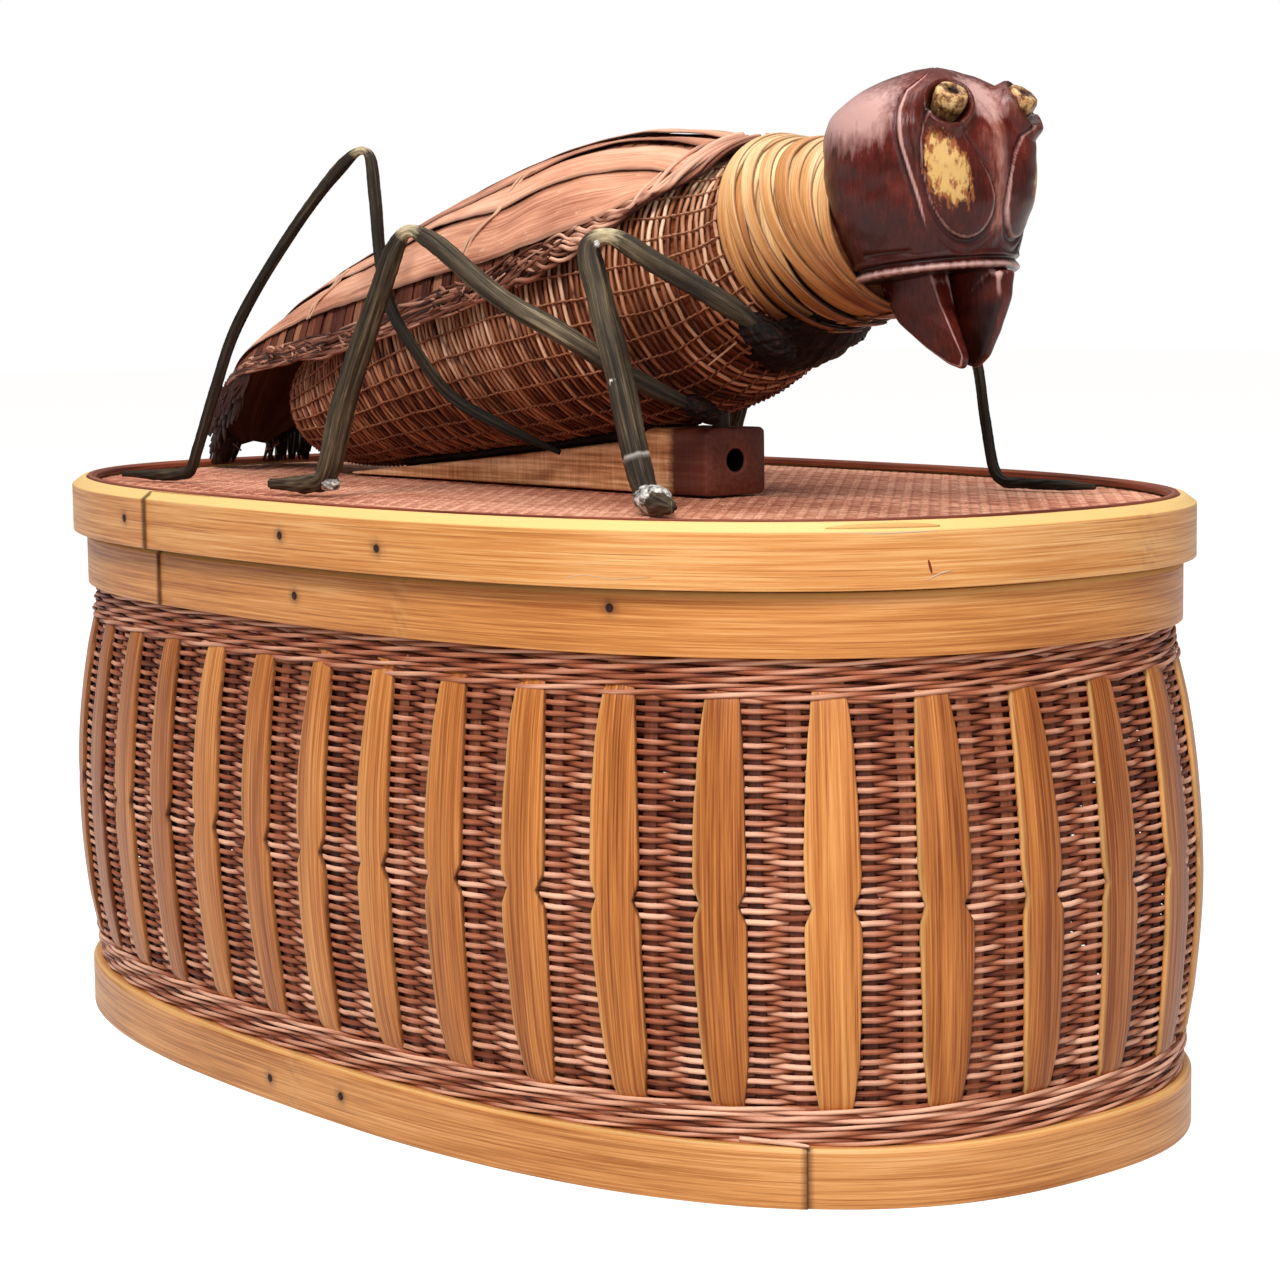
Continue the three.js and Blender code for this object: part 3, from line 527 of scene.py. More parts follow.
def hoop_shades(oval, seed, lap, bevel, pins, node_at, tint):
    """Shades of an outer hoop: its cut bevel is pale, it is dark at the pins and the joint, and
    a bamboo node leaves a rough band. The bevel is [strength, from height, to height, inset
    where it ends]."""
    def shades(place, inset, height):
        strength, low, high, end = bevel
        pale = strength * smooth(height, low, high) * (1 - smooth(inset, end, end + 0.8))
        dark = sum(0.85 * np.exp(-(oval.apart(place, at) / PIN_SPOT) ** 2 - ((height - z) / PIN_SPOT) ** 2)
                   for at, z in pins)
        dark = dark + 0.8 * (np.abs(oval.apart(place, lap)) < 0.25) * (inset < OUTER_FACE)
        band = bump(oval.apart(place, node_at), 0, 3.2)
        grit = wobble(height / 9 + place * 40, seed, (2, 5, 9, 16))
        dark = dark + 0.5 * band * np.clip(grit, 0, 1)
        pale = np.clip(pale + 0.55 * band * np.clip(-grit, 0, 1), 0, 1)
        tinted = tint + 0.07 * wobble(place, seed + 9, (2, 3, 7, 12))
        return {"tint": tinted, "pale": pale, "dark": np.clip(dark, 0, 1)}
    return shades


def inner_shades(seed):
    """Shades of an inner hoop: an uneven tint."""
    return lambda place, inset, z: {"tint": 0.1 * wobble(place, seed, (3, 7, 12))}


NO_END = 9.0             # an inset further in than any outer hoop goes
PIN_SPOT = 1.5           # reach of the dark round a pin
# [name, node, body, finish, outline, unevenness, corners' radius, seed, lap, bevel, pins, where
# a bamboo node is, tint, corners]
outer_hoops = [
    ["bent_base_hoop", "base_hoop", "box", base_bamboo, base_oval, 0.2, 0.22, 11, 0.1745,
     [0.6, BASE_TOP - 0.6, BASE_TOP - 0.3, 0.8], base_pins, 0.008, 0.0,
     [[0, 0], [3.2, 0], [3.2, BASE_TOP], [0.7, BASE_TOP], [0, BASE_TOP - 0.9]]],
    ["bent_rim_hoop", "rim_hoop", "box", hoop_bamboo, rim_oval, 0.15, 0.22, 21, -0.06,
     [1, RIM_TOP - 1.3, RIM_TOP - 1.0, NO_END], rim_pins, 0.059, -0.02,
     [[0, RIM_BOTTOM], [3.2, RIM_BOTTOM], [3.2, RIM_TOP], [1, RIM_TOP - 0.1], [0, RIM_TOP - 1.2]]],
    ["bent_lid_hoop", "lid_hoop", "lid", hoop_bamboo, lid_oval, 0.15, 0.25, 31, -0.058,
     [1, 133.9, 134.3, NO_END], lid_pins, 0.276, 0.06,
     [[0, LID_BOTTOM], [3.6, LID_BOTTOM], [3.6, BEAD_TOP - 0.4], [2.4, BEAD_TOP - 0.4], [0, 134.2]]]]
# [name, node, body, outline, seed, corners]
inner_hoops = [
    ["inner_base_hoop", "base_inner_hoop", "box", base_oval, 41,
     [[6.6, 3.3], [8.6, 3.3], [8.6, 13.5], [6.6, 13.5]]],
    ["collar_hoop", "rim_collar", "box", rim_oval, 42, [[6.6, 104], [8.6, 104], [8.6, 129.5], [6.6, 129.5]]],
    ["inner_lid_hoop", "lid_inner_hoop", "lid", lid_oval, 43,
     [[3.9, 124.2], [7.1, 124.2], [7.1, 131.9], [3.9, 131.9]]],
    ["panel_edge_bead", "lid_bead", "lid", lid_oval, 44,
     [[3.9, 134.7], [6.1, 134.7], [6.1, 135.9], [5.3, 136.4], [3.9, 136.4]]]]


def build_hoops():
    """The three outer hoops, the hoops inside them and the bead over the panel's edge."""
    for name, node, body, material, oval, uneven, radius, seed, lap, *looks, corners in outer_hoops:
        profile = divided(rounded(corners, radius), 1.4)
        shades = hoop_shades(oval, seed + 1, lap, *looks)
        skin = hoop_skin(oval, profile, shades, seed, lap, uneven)
        piece(name, [skin], material, body, [node], 50)
    for name, node, body, oval, seed, corners in inner_hoops:
        profile = divided(rounded(corners, 0.25), 1.6)
        skin = hoop_skin(oval, profile, inner_shades(seed), seed, None, 0.1, 420)
        piece(name, [skin], inner_bamboo, body, [node], 50)


def build_pins():
    """Wooden pins: a slightly domed round end showing in its hole, carried on inwards."""
    depth = np.array([-0.3, -0.26, -0.1, 0.4, 2.9, 5.4])
    radius = np.array([0.35, 0.65, 0.86, 0.9, 0.9, 0.85])
    for prefix, oval, pins, body in (("lid", lid_oval, lid_pins, "lid"), ("rim", rim_oval, rim_pins, "box"),
                                     ("base", base_oval, base_pins, "box")):
        for number, (fraction, z) in enumerate(pins, 1):
            start = raised(oval.at(fraction, 0.0), z)
            along = unit(raised(oval.at(fraction, 1.0), z) - start)
            ring = round_section(16) * (1 + 0.05 * wobble(turns(16) / ONE_TURN, number + 3, (2, 3)))[:, None]
            points = (start + along * depth[:, None])[:, None] + radius[:, None, None] * (
                np.cross(along, UP) * ring[:, :1] + UP * ring[:, 1:])
            piece(f"{prefix}_peg_{number}", [tubes(points)], pin_wood, body,
                  [f"{prefix}_pin_{number}"])


# The wall: stakes, rows of cane, twined borders and slats

STAKE_APART = 4.0        # of each stake from the middle of its gap
ROW_PITCH = 1.08
ROW_HALF = 0.58          # half the height of a row's cane
WEAVE_SWING = 0.68       # how far a row goes in and out round the stakes


def stake_phase(fraction):
    """Phase of a row: 0 at each gap's left stake, pi at its right one, straight in between."""
    period = wall_round / SLATS
    across = np.mod(fraction * wall_round - SLAT_SHIFT, period)
    left, right = period / 2 - STAKE_APART, period / 2 + STAKE_APART
    return np.interp(across, [right - period, left, right, left + period], [-np.pi, 0, np.pi, 2 * np.pi])


def build_wall():
    """Rows run round in and out of the stakes, each the other way from the one below. The
    radial offset is swing * cos(phase), and every row has its own tint and waver."""
    random = np.random.default_rng(5)
    steps = SLATS * 10
    fraction = (np.arange(steps) + 0.5) / steps + SLAT_SHIFT / wall_round
    heights = np.arange(11.2, 110.6, ROW_PITCH)
    rows = len(heights)
    parity = np.where(np.arange(rows) % 2, 1, -1)[:, None]
    waver = wobbles(fraction, 100, rows, (9, 17, 31, 52))
    z = heights[:, None] + 0.13 * waver + 0.07 * drawn(random, (rows, steps), 1)
    swing = WEAVE_SWING * np.cos(stake_phase(fraction))
    out = parity * swing + 0.1 * drawn(random, (rows, steps), 1.5)
    half = ROW_HALF + 0.02 * drawn(random, (rows, 1), 1.5)
    points = laid(wall_point, (fraction, z), out, half, half * 0.85, round_section(6), across=UP)
    share_out = (out / WEAVE_SWING)[..., None]
    # painted light: a row is lighter where it comes out over a stake and darker, as painted shade, where it
    # goes in behind one; the top rows under the border and the rim hoop get painted shade too
    tint = 0.1 * drawn(random, (rows, 1, 1), 2) + 0.06 * waver[..., None] + 0.14 * share_out
    dark = 0.35 * smooth(-share_out, 0.1, 1.0) + 0.3 * smooth(heights, 103, 108)[:, None, None]
    lower, upper = slice(rows // 2), slice(rows // 2, rows)
    for name, part, nodes in (("lower_wall_rows", lower, ["wicker_wall"]), ("upper_wall_rows", upper, [])):
        skin = tubes(points[part], True, tint=tint[part], dark=dark[part])
        piece(name, [skin], wall_cane, "box", nodes)
    build_stakes()
    build_borders()
    build_slats()


def build_stakes():
    """Upright stakes: two in every gap, flat and ridged, 3.2 mm wide."""
    z = np.linspace(3, 120.5, 44)
    middles = (np.arange(SLATS) + 0.5) / SLATS + SLAT_SHIFT / wall_round
    places = (middles[:, None] + np.array([-1, 1]) * STAKE_APART / wall_round).ravel()
    section = flat_section(10, 2.6) * np.array([1.6, 0.42])
    ridges = 1 + 0.25 * np.cos(turns(10) * 5)
    waver = 0.25 / wall_round * wobble(z[:, None] / 120, 8, (2, 5))
    fraction = places[:, None, None] + section[:, 0] / wall_round + waver
    points = wall_point(fraction, z[:, None], section[:, 1] * ridges)
    tint = 0.12 * drawn(np.random.default_rng(6), (len(places), 1, 1), 1.5)
    piece("wall_stakes", [tubes(points, False, z, tint=tint)], stake_cane, "box")


BORDER_PITCH = 1.62      # from one twined pair to the next
TWIST_LENGTH = 40        # of a border's strands


def build_borders():
    """Twined borders: pairs of thicker strands wound round each other, so that each comes to
    the front for 20 mm and goes behind. Strand = circle of the twist, offset by row."""
    random = np.random.default_rng(9)
    steps = 900
    fraction = np.arange(steps) / steps
    low = [13.0 + BORDER_PITCH * k for k in range(5)]
    high = [108.3 - BORDER_PITCH * k for k in range(5)]
    parts = []
    for row, z in enumerate(low + high):
        for strand in (0, 1):
            turn = 2 * np.pi * np.round(wall_round / TWIST_LENGTH) * fraction + np.pi * strand + 1.9 * row
            out = 1.15 + 0.55 * np.cos(turn) + 0.12 * wobble(fraction, 60 + 2 * row + strand, (7, 19, 40))
            level = z + 0.42 * np.sin(turn) + 0.16 * wobble(fraction, 90 + row, (5, 11, 23))
            half = 0.5 + 0.05 * random.normal()
            skin = laid(wall_point, (fraction, level), out, half, half * 0.8, round_section(6), across=UP)
            # painted light: a strand is lighter where it comes to the front of its twist and darker behind
            tint = 0.08 * random.normal() + 0.16 * np.cos(turn) + 0.03
            parts.append(tubes(skin, True, tint=tint[:, None]))
    # a broken strand's end that lies out over the base hoop
    share = np.linspace(0, 1, 18)
    skin = laid(wall_point, (0.1575 + 0.0175 * share, 13.2 - 0.3 * share), 1.6 + 2.2 * share ** 2,
                0.5 * (1 - 0.5 * share ** 8), 0.42, round_section(6), across=UP)
    parts.append(tubes(skin, tint=0.22, pale=0.3))
    piece("twined_borders", parts, wall_cane, "box")


slat_levels = np.array([     # [height, half width, height over the weave]
    [10.0, 2.7, -0.1], [19.6, 3.3, 0.1], [21.4, 3.55, 0.9], [30, 4.7, 1.35], [45, 5.1, 1.35],
    [54, 5.35, 1.35], [57.4, 5.2, 1.35], [60.8, 4.0, 1.3], [64.2, 5.1, 1.35], [68, 5.3, 1.35],
    [80, 5.0, 1.35], [93, 4.4, 1.3],
    [101.2, 3.6, 0.9], [103.2, 3.3, 0.1], [110.2, 2.8, -0.1]])


NOTCH_Z, NOTCH_REACH = 60.8, 3.4


def build_slats():
    """Slats over the weave: a half width and a height over the weave by level, a crowned
    face, thin edges, and a notched waist that each cutting left a little different."""
    random = np.random.default_rng(12)
    z = np.unique(np.concatenate([np.linspace(10, 110.2, 70), np.linspace(55, 67, 19)]))
    half, out = (np.interp(z, slat_levels[:, 0], slat_levels[:, k]) for k in (1, 2))
    section = flat_section(20, 9.0)
    slat = np.arange(SLATS)[:, None, None]
    across, level, _ = np.broadcast_arrays(section[:, 0], z[:, None], slat)
    notch = np.clip(1 - np.abs(level - NOTCH_Z) / NOTCH_REACH, 0, 1)
    uneven = [drawn(random, (SLATS, 1, 1), 1.5) for _ in range(5)]
    deeper = notch * np.where(across > 0, 0.45 + 0.25 * uneven[0], 0.25 * uneven[1])
    taper = half[:, None] * (1 + 0.04 * uneven[2]) - deeper * 0.9
    lean = 0.5 * uneven[3] * (level - 60) / 60
    waver = 0.12 * wobbles(z / 100, 200, SLATS, (3, 7, 13))[..., None]
    sideways = across * taper + lean + waver
    crown = 0.24 * (1 - across ** 2)
    face = crown + 0.6 * section[:, 1]
    above = out[:, None] + face + 0.12 * uneven[4] + 0.06 * np.sin(level / 6 + slat)
    fraction = slat / SLATS + (SLAT_SHIFT + sideways) / wall_round
    points = wall_point(fraction, level, above)
    length = z + 137.0 * np.arange(SLATS)[:, None]
    girth = np.concatenate([sideways, sideways[..., :1]], -1)
    tint = 0.05 * drawn(random, (SLATS, 1, 1), 1.4) - 0.03
    # painted light: a painted highlight down each slat's one edge and painted shade down the other; the edges
    # are a little darker at the notched waist too
    pale = 0.45 * smooth(-across, 0.82, 0.97) * (section[:, 1] > -0.5)
    dark = 0.6 * smooth(across, 0.93, 1.0) + 0.25 * notch * smooth(np.abs(across), 0.85, 1)
    skin = tubes(points, False, length, girth, tint=tint, pale=pale, dark=dark)
    piece("wall_slats", [skin], slat_bamboo, "box", crease=60)


# The woven panels

SPLINT = 1.5             # width of a panel's splints


def woven_sheet(oval, inset, bottom, top, relief_depth):
    """A 2/2 twill as a height field on a square grid, twice as fine as its splints. A splint
    is high in its middle, low at its edges and lower where it dives under."""
    cell = SPLINT / 2
    across, deep = (int(size // cell) + 2 for size in oval.size)
    i, j = np.meshgrid(np.arange(-across, across + 1), np.arange(-deep, deep + 1), indexing="ij")
    x, y = i * cell + oval.middle[0], j * cell
    reach = oval.size - inset
    share = np.abs((x - oval.middle[0]) / reach[0]) ** OVAL_POWER + np.abs(y / reach[1]) ** OVAL_POWER
    column, row = np.floor(i / 2), np.floor(j / 2)
    phase = np.mod(column + row, 4)
    over = phase < 2
    edge_x, edge_y = i % 2 == 0, j % 2 == 0
    low = np.where(over, edge_y, edge_x)
    dive = np.where(over, edge_x & (phase < 1), edge_y & (phase < 3))
    drop = relief_depth * (0.55 * low + 0.45 * dive)
    sag = 0.25 * wobble(x / 300 + 0.3 * y / 190, 71, (1, 2, 3))
    upper = top - drop - 0.15 - 0.15 * sag
    lower = bottom + relief_depth * (0.55 * np.where(over, edge_x, edge_y))
    keep = share < 1
    cells = keep[:-1, :-1] & keep[1:, :-1] & keep[:-1, 1:] & keep[1:, 1:]
    number = np.arange(i.size).reshape(i.shape)
    quad = np.stack([number[:-1, :-1], number[1:, :-1], number[1:, 1:], number[:-1, 1:]], -1)
    face_up = quad[cells]
    faces = [face_up, face_up[:, ::-1] + i.size]
    padded = np.pad(cells, 1)
    for step, corners in (((-1, 0), (3, 0)), ((1, 0), (1, 2)), ((0, -1), (0, 1)), ((0, 1), (2, 3))):
        beyond = np.roll(padded, (-step[0], -step[1]), (0, 1))[1:-1, 1:-1]
        edge = quad[cells & ~beyond]
        first, second = edge[:, corners[0]], edge[:, corners[1]]
        faces.append(np.stack([second, first, first + i.size, second + i.size], -1))
    verts = np.concatenate([np.stack([x, y, height], -1).reshape(-1, 3) for height in (upper, lower)])
    random = np.random.default_rng(14)
    by_column = 0.07 * random.normal(size=2 * across + 3)[(column + across + 1).astype(int)]
    by_row = 0.07 * random.normal(size=2 * deep + 3)[(row + deep + 1).astype(int)]
    tint = np.where(over, by_row, by_column + 0.05)
    # painted shade at each splint's edges and where it dives under the next
    dark = 0.5 * low + 0.4 * dive
    used, faces = np.unique(np.concatenate(faces), return_inverse=True)
    faces = faces.reshape(-1, 4)
    shades = {"tint": np.tile(tint.ravel(), 2)[used], "dark": np.tile(dark.ravel(), 2)[used]}
    verts = verts[used]
    return turned_out((verts, faces, np.zeros((0, 3), int), verts[faces][:, :, :2],
                       np.zeros((0, 3, 2)), shades))


def build_panels():
    """The lid's top and the bottom, with their edges under the bead and the inner hoop."""
    piece("twilled_lid_panel", [woven_sheet(lid_oval, 4.4, PANEL_TOP - PANEL_THICK, PANEL_TOP, 0.35)],
          panel_splint, "lid", ["lid_panel"])
    piece("twilled_base_panel", [woven_sheet(base_oval, 7.0, 1.0, 3.0, 0.3)],
          panel_splint, "box", ["base_panel"])


marks = [                # [name, [fraction, height, inset] along the mark, half width, its material]
    ["red_wax_tick", [[0.2052, 128.4, 0.25], [0.2061, 125.7, 0.25]], 0.3, red_wax],
    ["dark_scratch", [[0.2046, 124.4, 0.25], [0.208, 125.6, 0.25], [0.2112, 126.2, 0.25]], 0.14, pin_wood],
    ["peeled_fibre", [[0.181, 134.9, 1.0], [0.1945, 135.1, 0.9], [0.2085, 134.9, 1.0]], 0.7, hoop_bamboo],
    ["peel_slit", [[0.1822, 134.0, 0.3], [0.1945, 133.8, 0.25], [0.2075, 134.0, 0.3]], 0.16, pin_wood],
    ["curled_scratch", [[0.1158, 124.4, 0.25], [0.122, 125.4, 0.25], [0.13, 124.6, 0.25],
                        [0.1396, 125.3, 0.25]], 0.1, pin_wood]]


def lid_face(fraction, z, out):
    """A point of the lid hoop's outer face."""
    return raised(lid_oval.at(fraction, -out), z)


def build_marks():
    """Small marks of use on the lid hoop: thin strokes let into its face, tapered at both ends."""
    steps = 28
    taper = 1 - 0.85 * (2 * np.linspace(0, 1, steps) - 1) ** 4
    for name, route, half, material in marks:
        fraction, z, inset = columns_along(route, steps)
        skin = laid(lid_face, (fraction, z), -inset, half * taper, 0.3, flat_section(8, 3.0))
        piece(name, [tubes(skin, pale=0.6)], material, "lid")


build_hoops()
build_marks()
build_pins()
build_wall()
build_panels()


# The cricket's body

def between(stations, x):
    """Values between given stations [x, value, ...]: cubics whose slope at a station
    runs from its neighbour before to its neighbour after."""
    table = np.array(stations, float)
    knots, values = table[:, 0], table[:, 1:]
    slopes = np.empty_like(values)
    slopes[1:-1] = (values[2:] - values[:-2]) / (knots[2:] - knots[:-2])[:, None]
    slopes[0] = (values[1] - values[0]) / (knots[1] - knots[0])
    slopes[-1] = (values[-1] - values[-2]) / (knots[-1] - knots[-2])
    x = np.asarray(x, float)
    k = np.clip(np.searchsorted(knots, x) - 1, 0, len(knots) - 2)
    step = (knots[k + 1] - knots[k])[..., None]
    f = np.clip((x[..., None] - knots[k][..., None]) / step, 0, 1)
    made = ((2 * f ** 3 - 3 * f ** 2 + 1) * values[k] + (f ** 3 - 2 * f ** 2 + f) * step * slopes[k]
            + (3 * f ** 2 - 2 * f ** 3) * values[k + 1] + (f ** 3 - f ** 2) * step * slopes[k + 1])
    return [made[..., n] for n in range(made.shape[-1])]


body_stations = [        # [x, height of the axis, radius, lean in degrees]
    [-117.5, 150.2, 0.6, 8], [-115.8, 150.5, 6, 8], [-111, 151.3, 10.8, 9], [-103, 152.4, 14.8, 10],
    [-86, 155.9, 19.2, 12], [-62, 162.9, 24.1, 13], [-38, 169.1, 27.7, 12], [-10, 175, 30.6, 9],
    [16, 179.4, 31.7, 6], [38, 182.1, 30.7, 5], [56, 184, 27.2, 7], [68, 187.2, 23.2, 11],
    [78.3, 191.2, 21.4, 14]]
CORDS = 34               # pairs of binding cords round the body
STICK_PITCH = 1.75
BODY_FRONT = 78.3


def body_point(x, angle, over):
    """A point of the body: round sections leaning back along a rising axis."""
    x, angle, over = np.broadcast_arrays(x, angle, over)
    z, radius, lean = between(body_stations, x)
    lean = np.radians(lean)
    up = (radius + over) * np.cos(angle)
    return np.stack([x - up * np.sin(lean), (radius + over) * np.sin(angle), z + up * np.cos(lean)], -1)


def build_body():
    """A closed basket: a lining, sticks round it, and twisted cords along it that bind them."""
    x = np.concatenate([[-117.5, -117.2, -116.6], np.linspace(-115.8, BODY_FRONT, 150)])[:, None]
    angle = turns(96)
    lining = body_point(x, angle, -0.7 + 0.1 * np.sin(20 * angle))
    tint = 0.1 * wobble(x / 200 + angle / 9, 301, (2, 5, 9))
    piece("body_lining", [tubes(lining, False, x[:, 0], np.arange(97) * 2.0, tint=tint, dark=0.25)],
          body_ground, "lid", ["basket_body"])
    random = np.random.default_rng(31)
    angle = turns(CORDS * 4)
    first = np.arange(-113.5, 77.5, STICK_PITCH)
    count = len(first)
    wander = wobbles(angle / ONE_TURN, 400, count, (5, 11, 23))
    radius = between(body_stations, first)[1][:, None]
    slant = 0.1 * radius * (1 - np.cos(angle))
    x = first[:, None] + slant + 0.22 * wander + 0.18 * drawn(random, (count, 1), 1.5)
    x = np.minimum(x, BODY_FRONT - 0.1)
    parity = np.where(np.arange(count) % 2, 1, -1)[:, None]
    over = 0.1 + 0.12 * parity * np.cos(CORDS * angle / 2)
    half = 0.53 + 0.07 * drawn(random, (count, 1), 1.5)
    sticks = laid(body_point, (x, angle), over, half, 0.42, round_section(5), closed=True)
    # painted light: the sticks are lighter on top of the body and darker underneath
    tint = 0.13 * drawn(random, (count, 1), 1.6) + 0.06 * wander + 0.12 * np.cos(angle)
    seam = np.mod(x + 0.75 * radius * np.cos(angle) + 6, 27)
    dark = 0.85 * bump(seam, 13, 0.8) * smooth(-np.cos(angle), -0.35, 0.0) * smooth(radius, 15, 22)
    piece("body_sticks", [tubes(sticks, True, tint=tint[..., None], dark=dark[..., None])],
          body_cane, "lid")
    x = np.linspace(-114.5, 77.8, 175)
    radius = between(body_stations, x)[1]
    parts = []
    for strand in (0, 1):
        turn = np.pi * x / STICK_PITCH + np.pi * strand + 2.1 * np.arange(CORDS)[:, None]
        waver = 0.3 * wobbles(x / 200, 500, CORDS, (4, 9, 15))
        angle = turns(CORDS)[:, None] + (0.24 * np.sin(turn) + waver) / np.maximum(radius, 4)
        cords = laid(body_point, (x, angle), 0.5 + 0.36 * np.cos(turn), 0.21, 0.22, round_section(4))
        # painted light: the cords too are lighter on top of the body and darker underneath
        parts.append(tubes(cords, tint=(0.14 * np.sin(turn) + 0.1 * np.cos(angle) - 0.02)[..., None]))
    # a loose straw that stands out near the front leg
    straw = body_point(*(np.linspace(*ends, 12) for ends in ((60.6, 69.9), (3.80, 3.867), (0.7, 2.4))))
    along = unit(np.gradient(straw, axis=0))
    level = unit(np.cross(along, UP))
    skin = strands(straw, level, np.cross(level, along), 0.24, 0.24, round_section(5))
    parts.append(tubes(skin, tint=0.2, pale=0.2))
    piece("body_cords", parts, body_cane, "lid")


cover_stations = [       # [x, ridge height, half width of the arch, its depth, hem angle from the ridge]
    [-147.8, 142, 5, 2.4, 80], [-144, 148.4, 12, 4.6, 80], [-137, 157, 17.4, 6.8, 80],
    [-124, 168, 21.4, 10.4, 82], [-108, 177.4, 23.6, 15.6, 84], [-88, 186.2, 25.8, 21.4, 86],
    [-66, 193.6, 28.6, 26.2, 87], [-42, 201, 31.4, 29.6, 87], [-20, 207.2, 33.6, 32.1, 87],
    [5, 213, 35.2, 34.2, 85], [30, 216, 35, 34.8, 77], [50, 215.2, 32.6, 32.6, 62],
    [60, 214, 30.8, 30.8, 43], [65, 213.2, 29.6, 29.6, 3]]


def cover_point(x, arc, over):
    """A point of the wing cover by its distance round from the ridge, in mm on its surface."""
    x, arc, over = np.broadcast_arrays(x, arc, over)
    ridge, half, deep, _ = between(cover_stations, x)
    angle = arc / half
    return np.stack([x, (half + over) * np.sin(angle), ridge - deep + (deep + over) * np.cos(angle)], -1)


def hem_arc(x):
    """How far round the hem lies at each station, in mm."""
    _, half, _, hem = between(cover_stations, x)
    return half * np.radians(hem)


def cover_strip(x, low, high, seed):
    """A strip lying on the cover between two edges given as arcs, with its lower edge higher
    over the cover and its face crowned: its arcs, heights, girth and shares of the width."""
    across = 9
    share = np.linspace(-1, 1, across)
    middle, half = (low + high) / 2, (high - low) / 2
    around = np.concatenate([share, share[::-1]])
    face = np.concatenate([np.ones(across), -np.ones(across)])
    edge = 1 - 0.6 * np.abs(around) ** 8
    tilt = 0.1 + 0.65 * (around + 1) / 2
    crown = 0.1 * (1 - around ** 2) + 0.14 * wobble(x / 200, seed, (3, 8, 14))[:, None]
    arc = middle[:, None] + half[:, None] * around
    arc = arc + 0.25 * wobble(x / 200, seed + 1, (5, 12, 21))[:, None]
    over = tilt + crown + 0.2 * face * edge
    girth = np.concatenate([[0], np.cumsum(np.abs(np.diff(around)) * 5), [91]])
    return arc, over, girth, around


# Edges of the near splints as [x, arc of the upper edge, arc of the lower edge], from the
# ridge down. Each lies over the one below it, and lens-shaped gaps open between them.
splint_edges = [
    [[-92, 0.5, 6.5], [-60, -1, 8], [-20, -2, 10], [15, -2, 9.8], [40, -1.5, 8.4], [64, 0, 7.4]],
    [[-118, 0.5, 7], [-90, 3.5, 12], [-60, 5.5, 17.5], [-19, 8.5, 24.2], [5, 9.6, 24], [20, 10, 17.8],
     [35, 10.4, 14], [46, 9.6, 13.4], [63, 7, 13.7]],
    [[-138, 0.5, 6], [-120, 2.5, 11.5], [-95, 8, 17.5], [-73, 12.5, 22.4], [-52, 16, 26.9], [-26, 18, 27.6],
     [4, 18.5, 33.4], [12, 18, 32.2], [20, 17.6, 29.8], [45, 14.8, 25.2], [61, 14.5, 23.2]],
    [[-146, 1, 5], [-138, 5, 14.2], [-124, 10.5, 22], [-100, 17.5, 28.5], [-74, 21.4, 32.6], [-50, 25.6, 38],
     [-30, 27, 42], [-4, 31, 46], [10, 32.5, 46.6], [20, 28.5, 45.4], [33, 25.4, 42.6], [45, 24, 37.4],
     [58, 23.2, 28.5]]]
# The stitches of one wing as routes of [x, arc]
stitches = [[[8, 21], [5.3, 23], [5.9, 34], [-0.6, 39.5], [-3, 44]],
            [[-71, 20], [-73, 23], [-77.7, 28], [-80, 32]]]


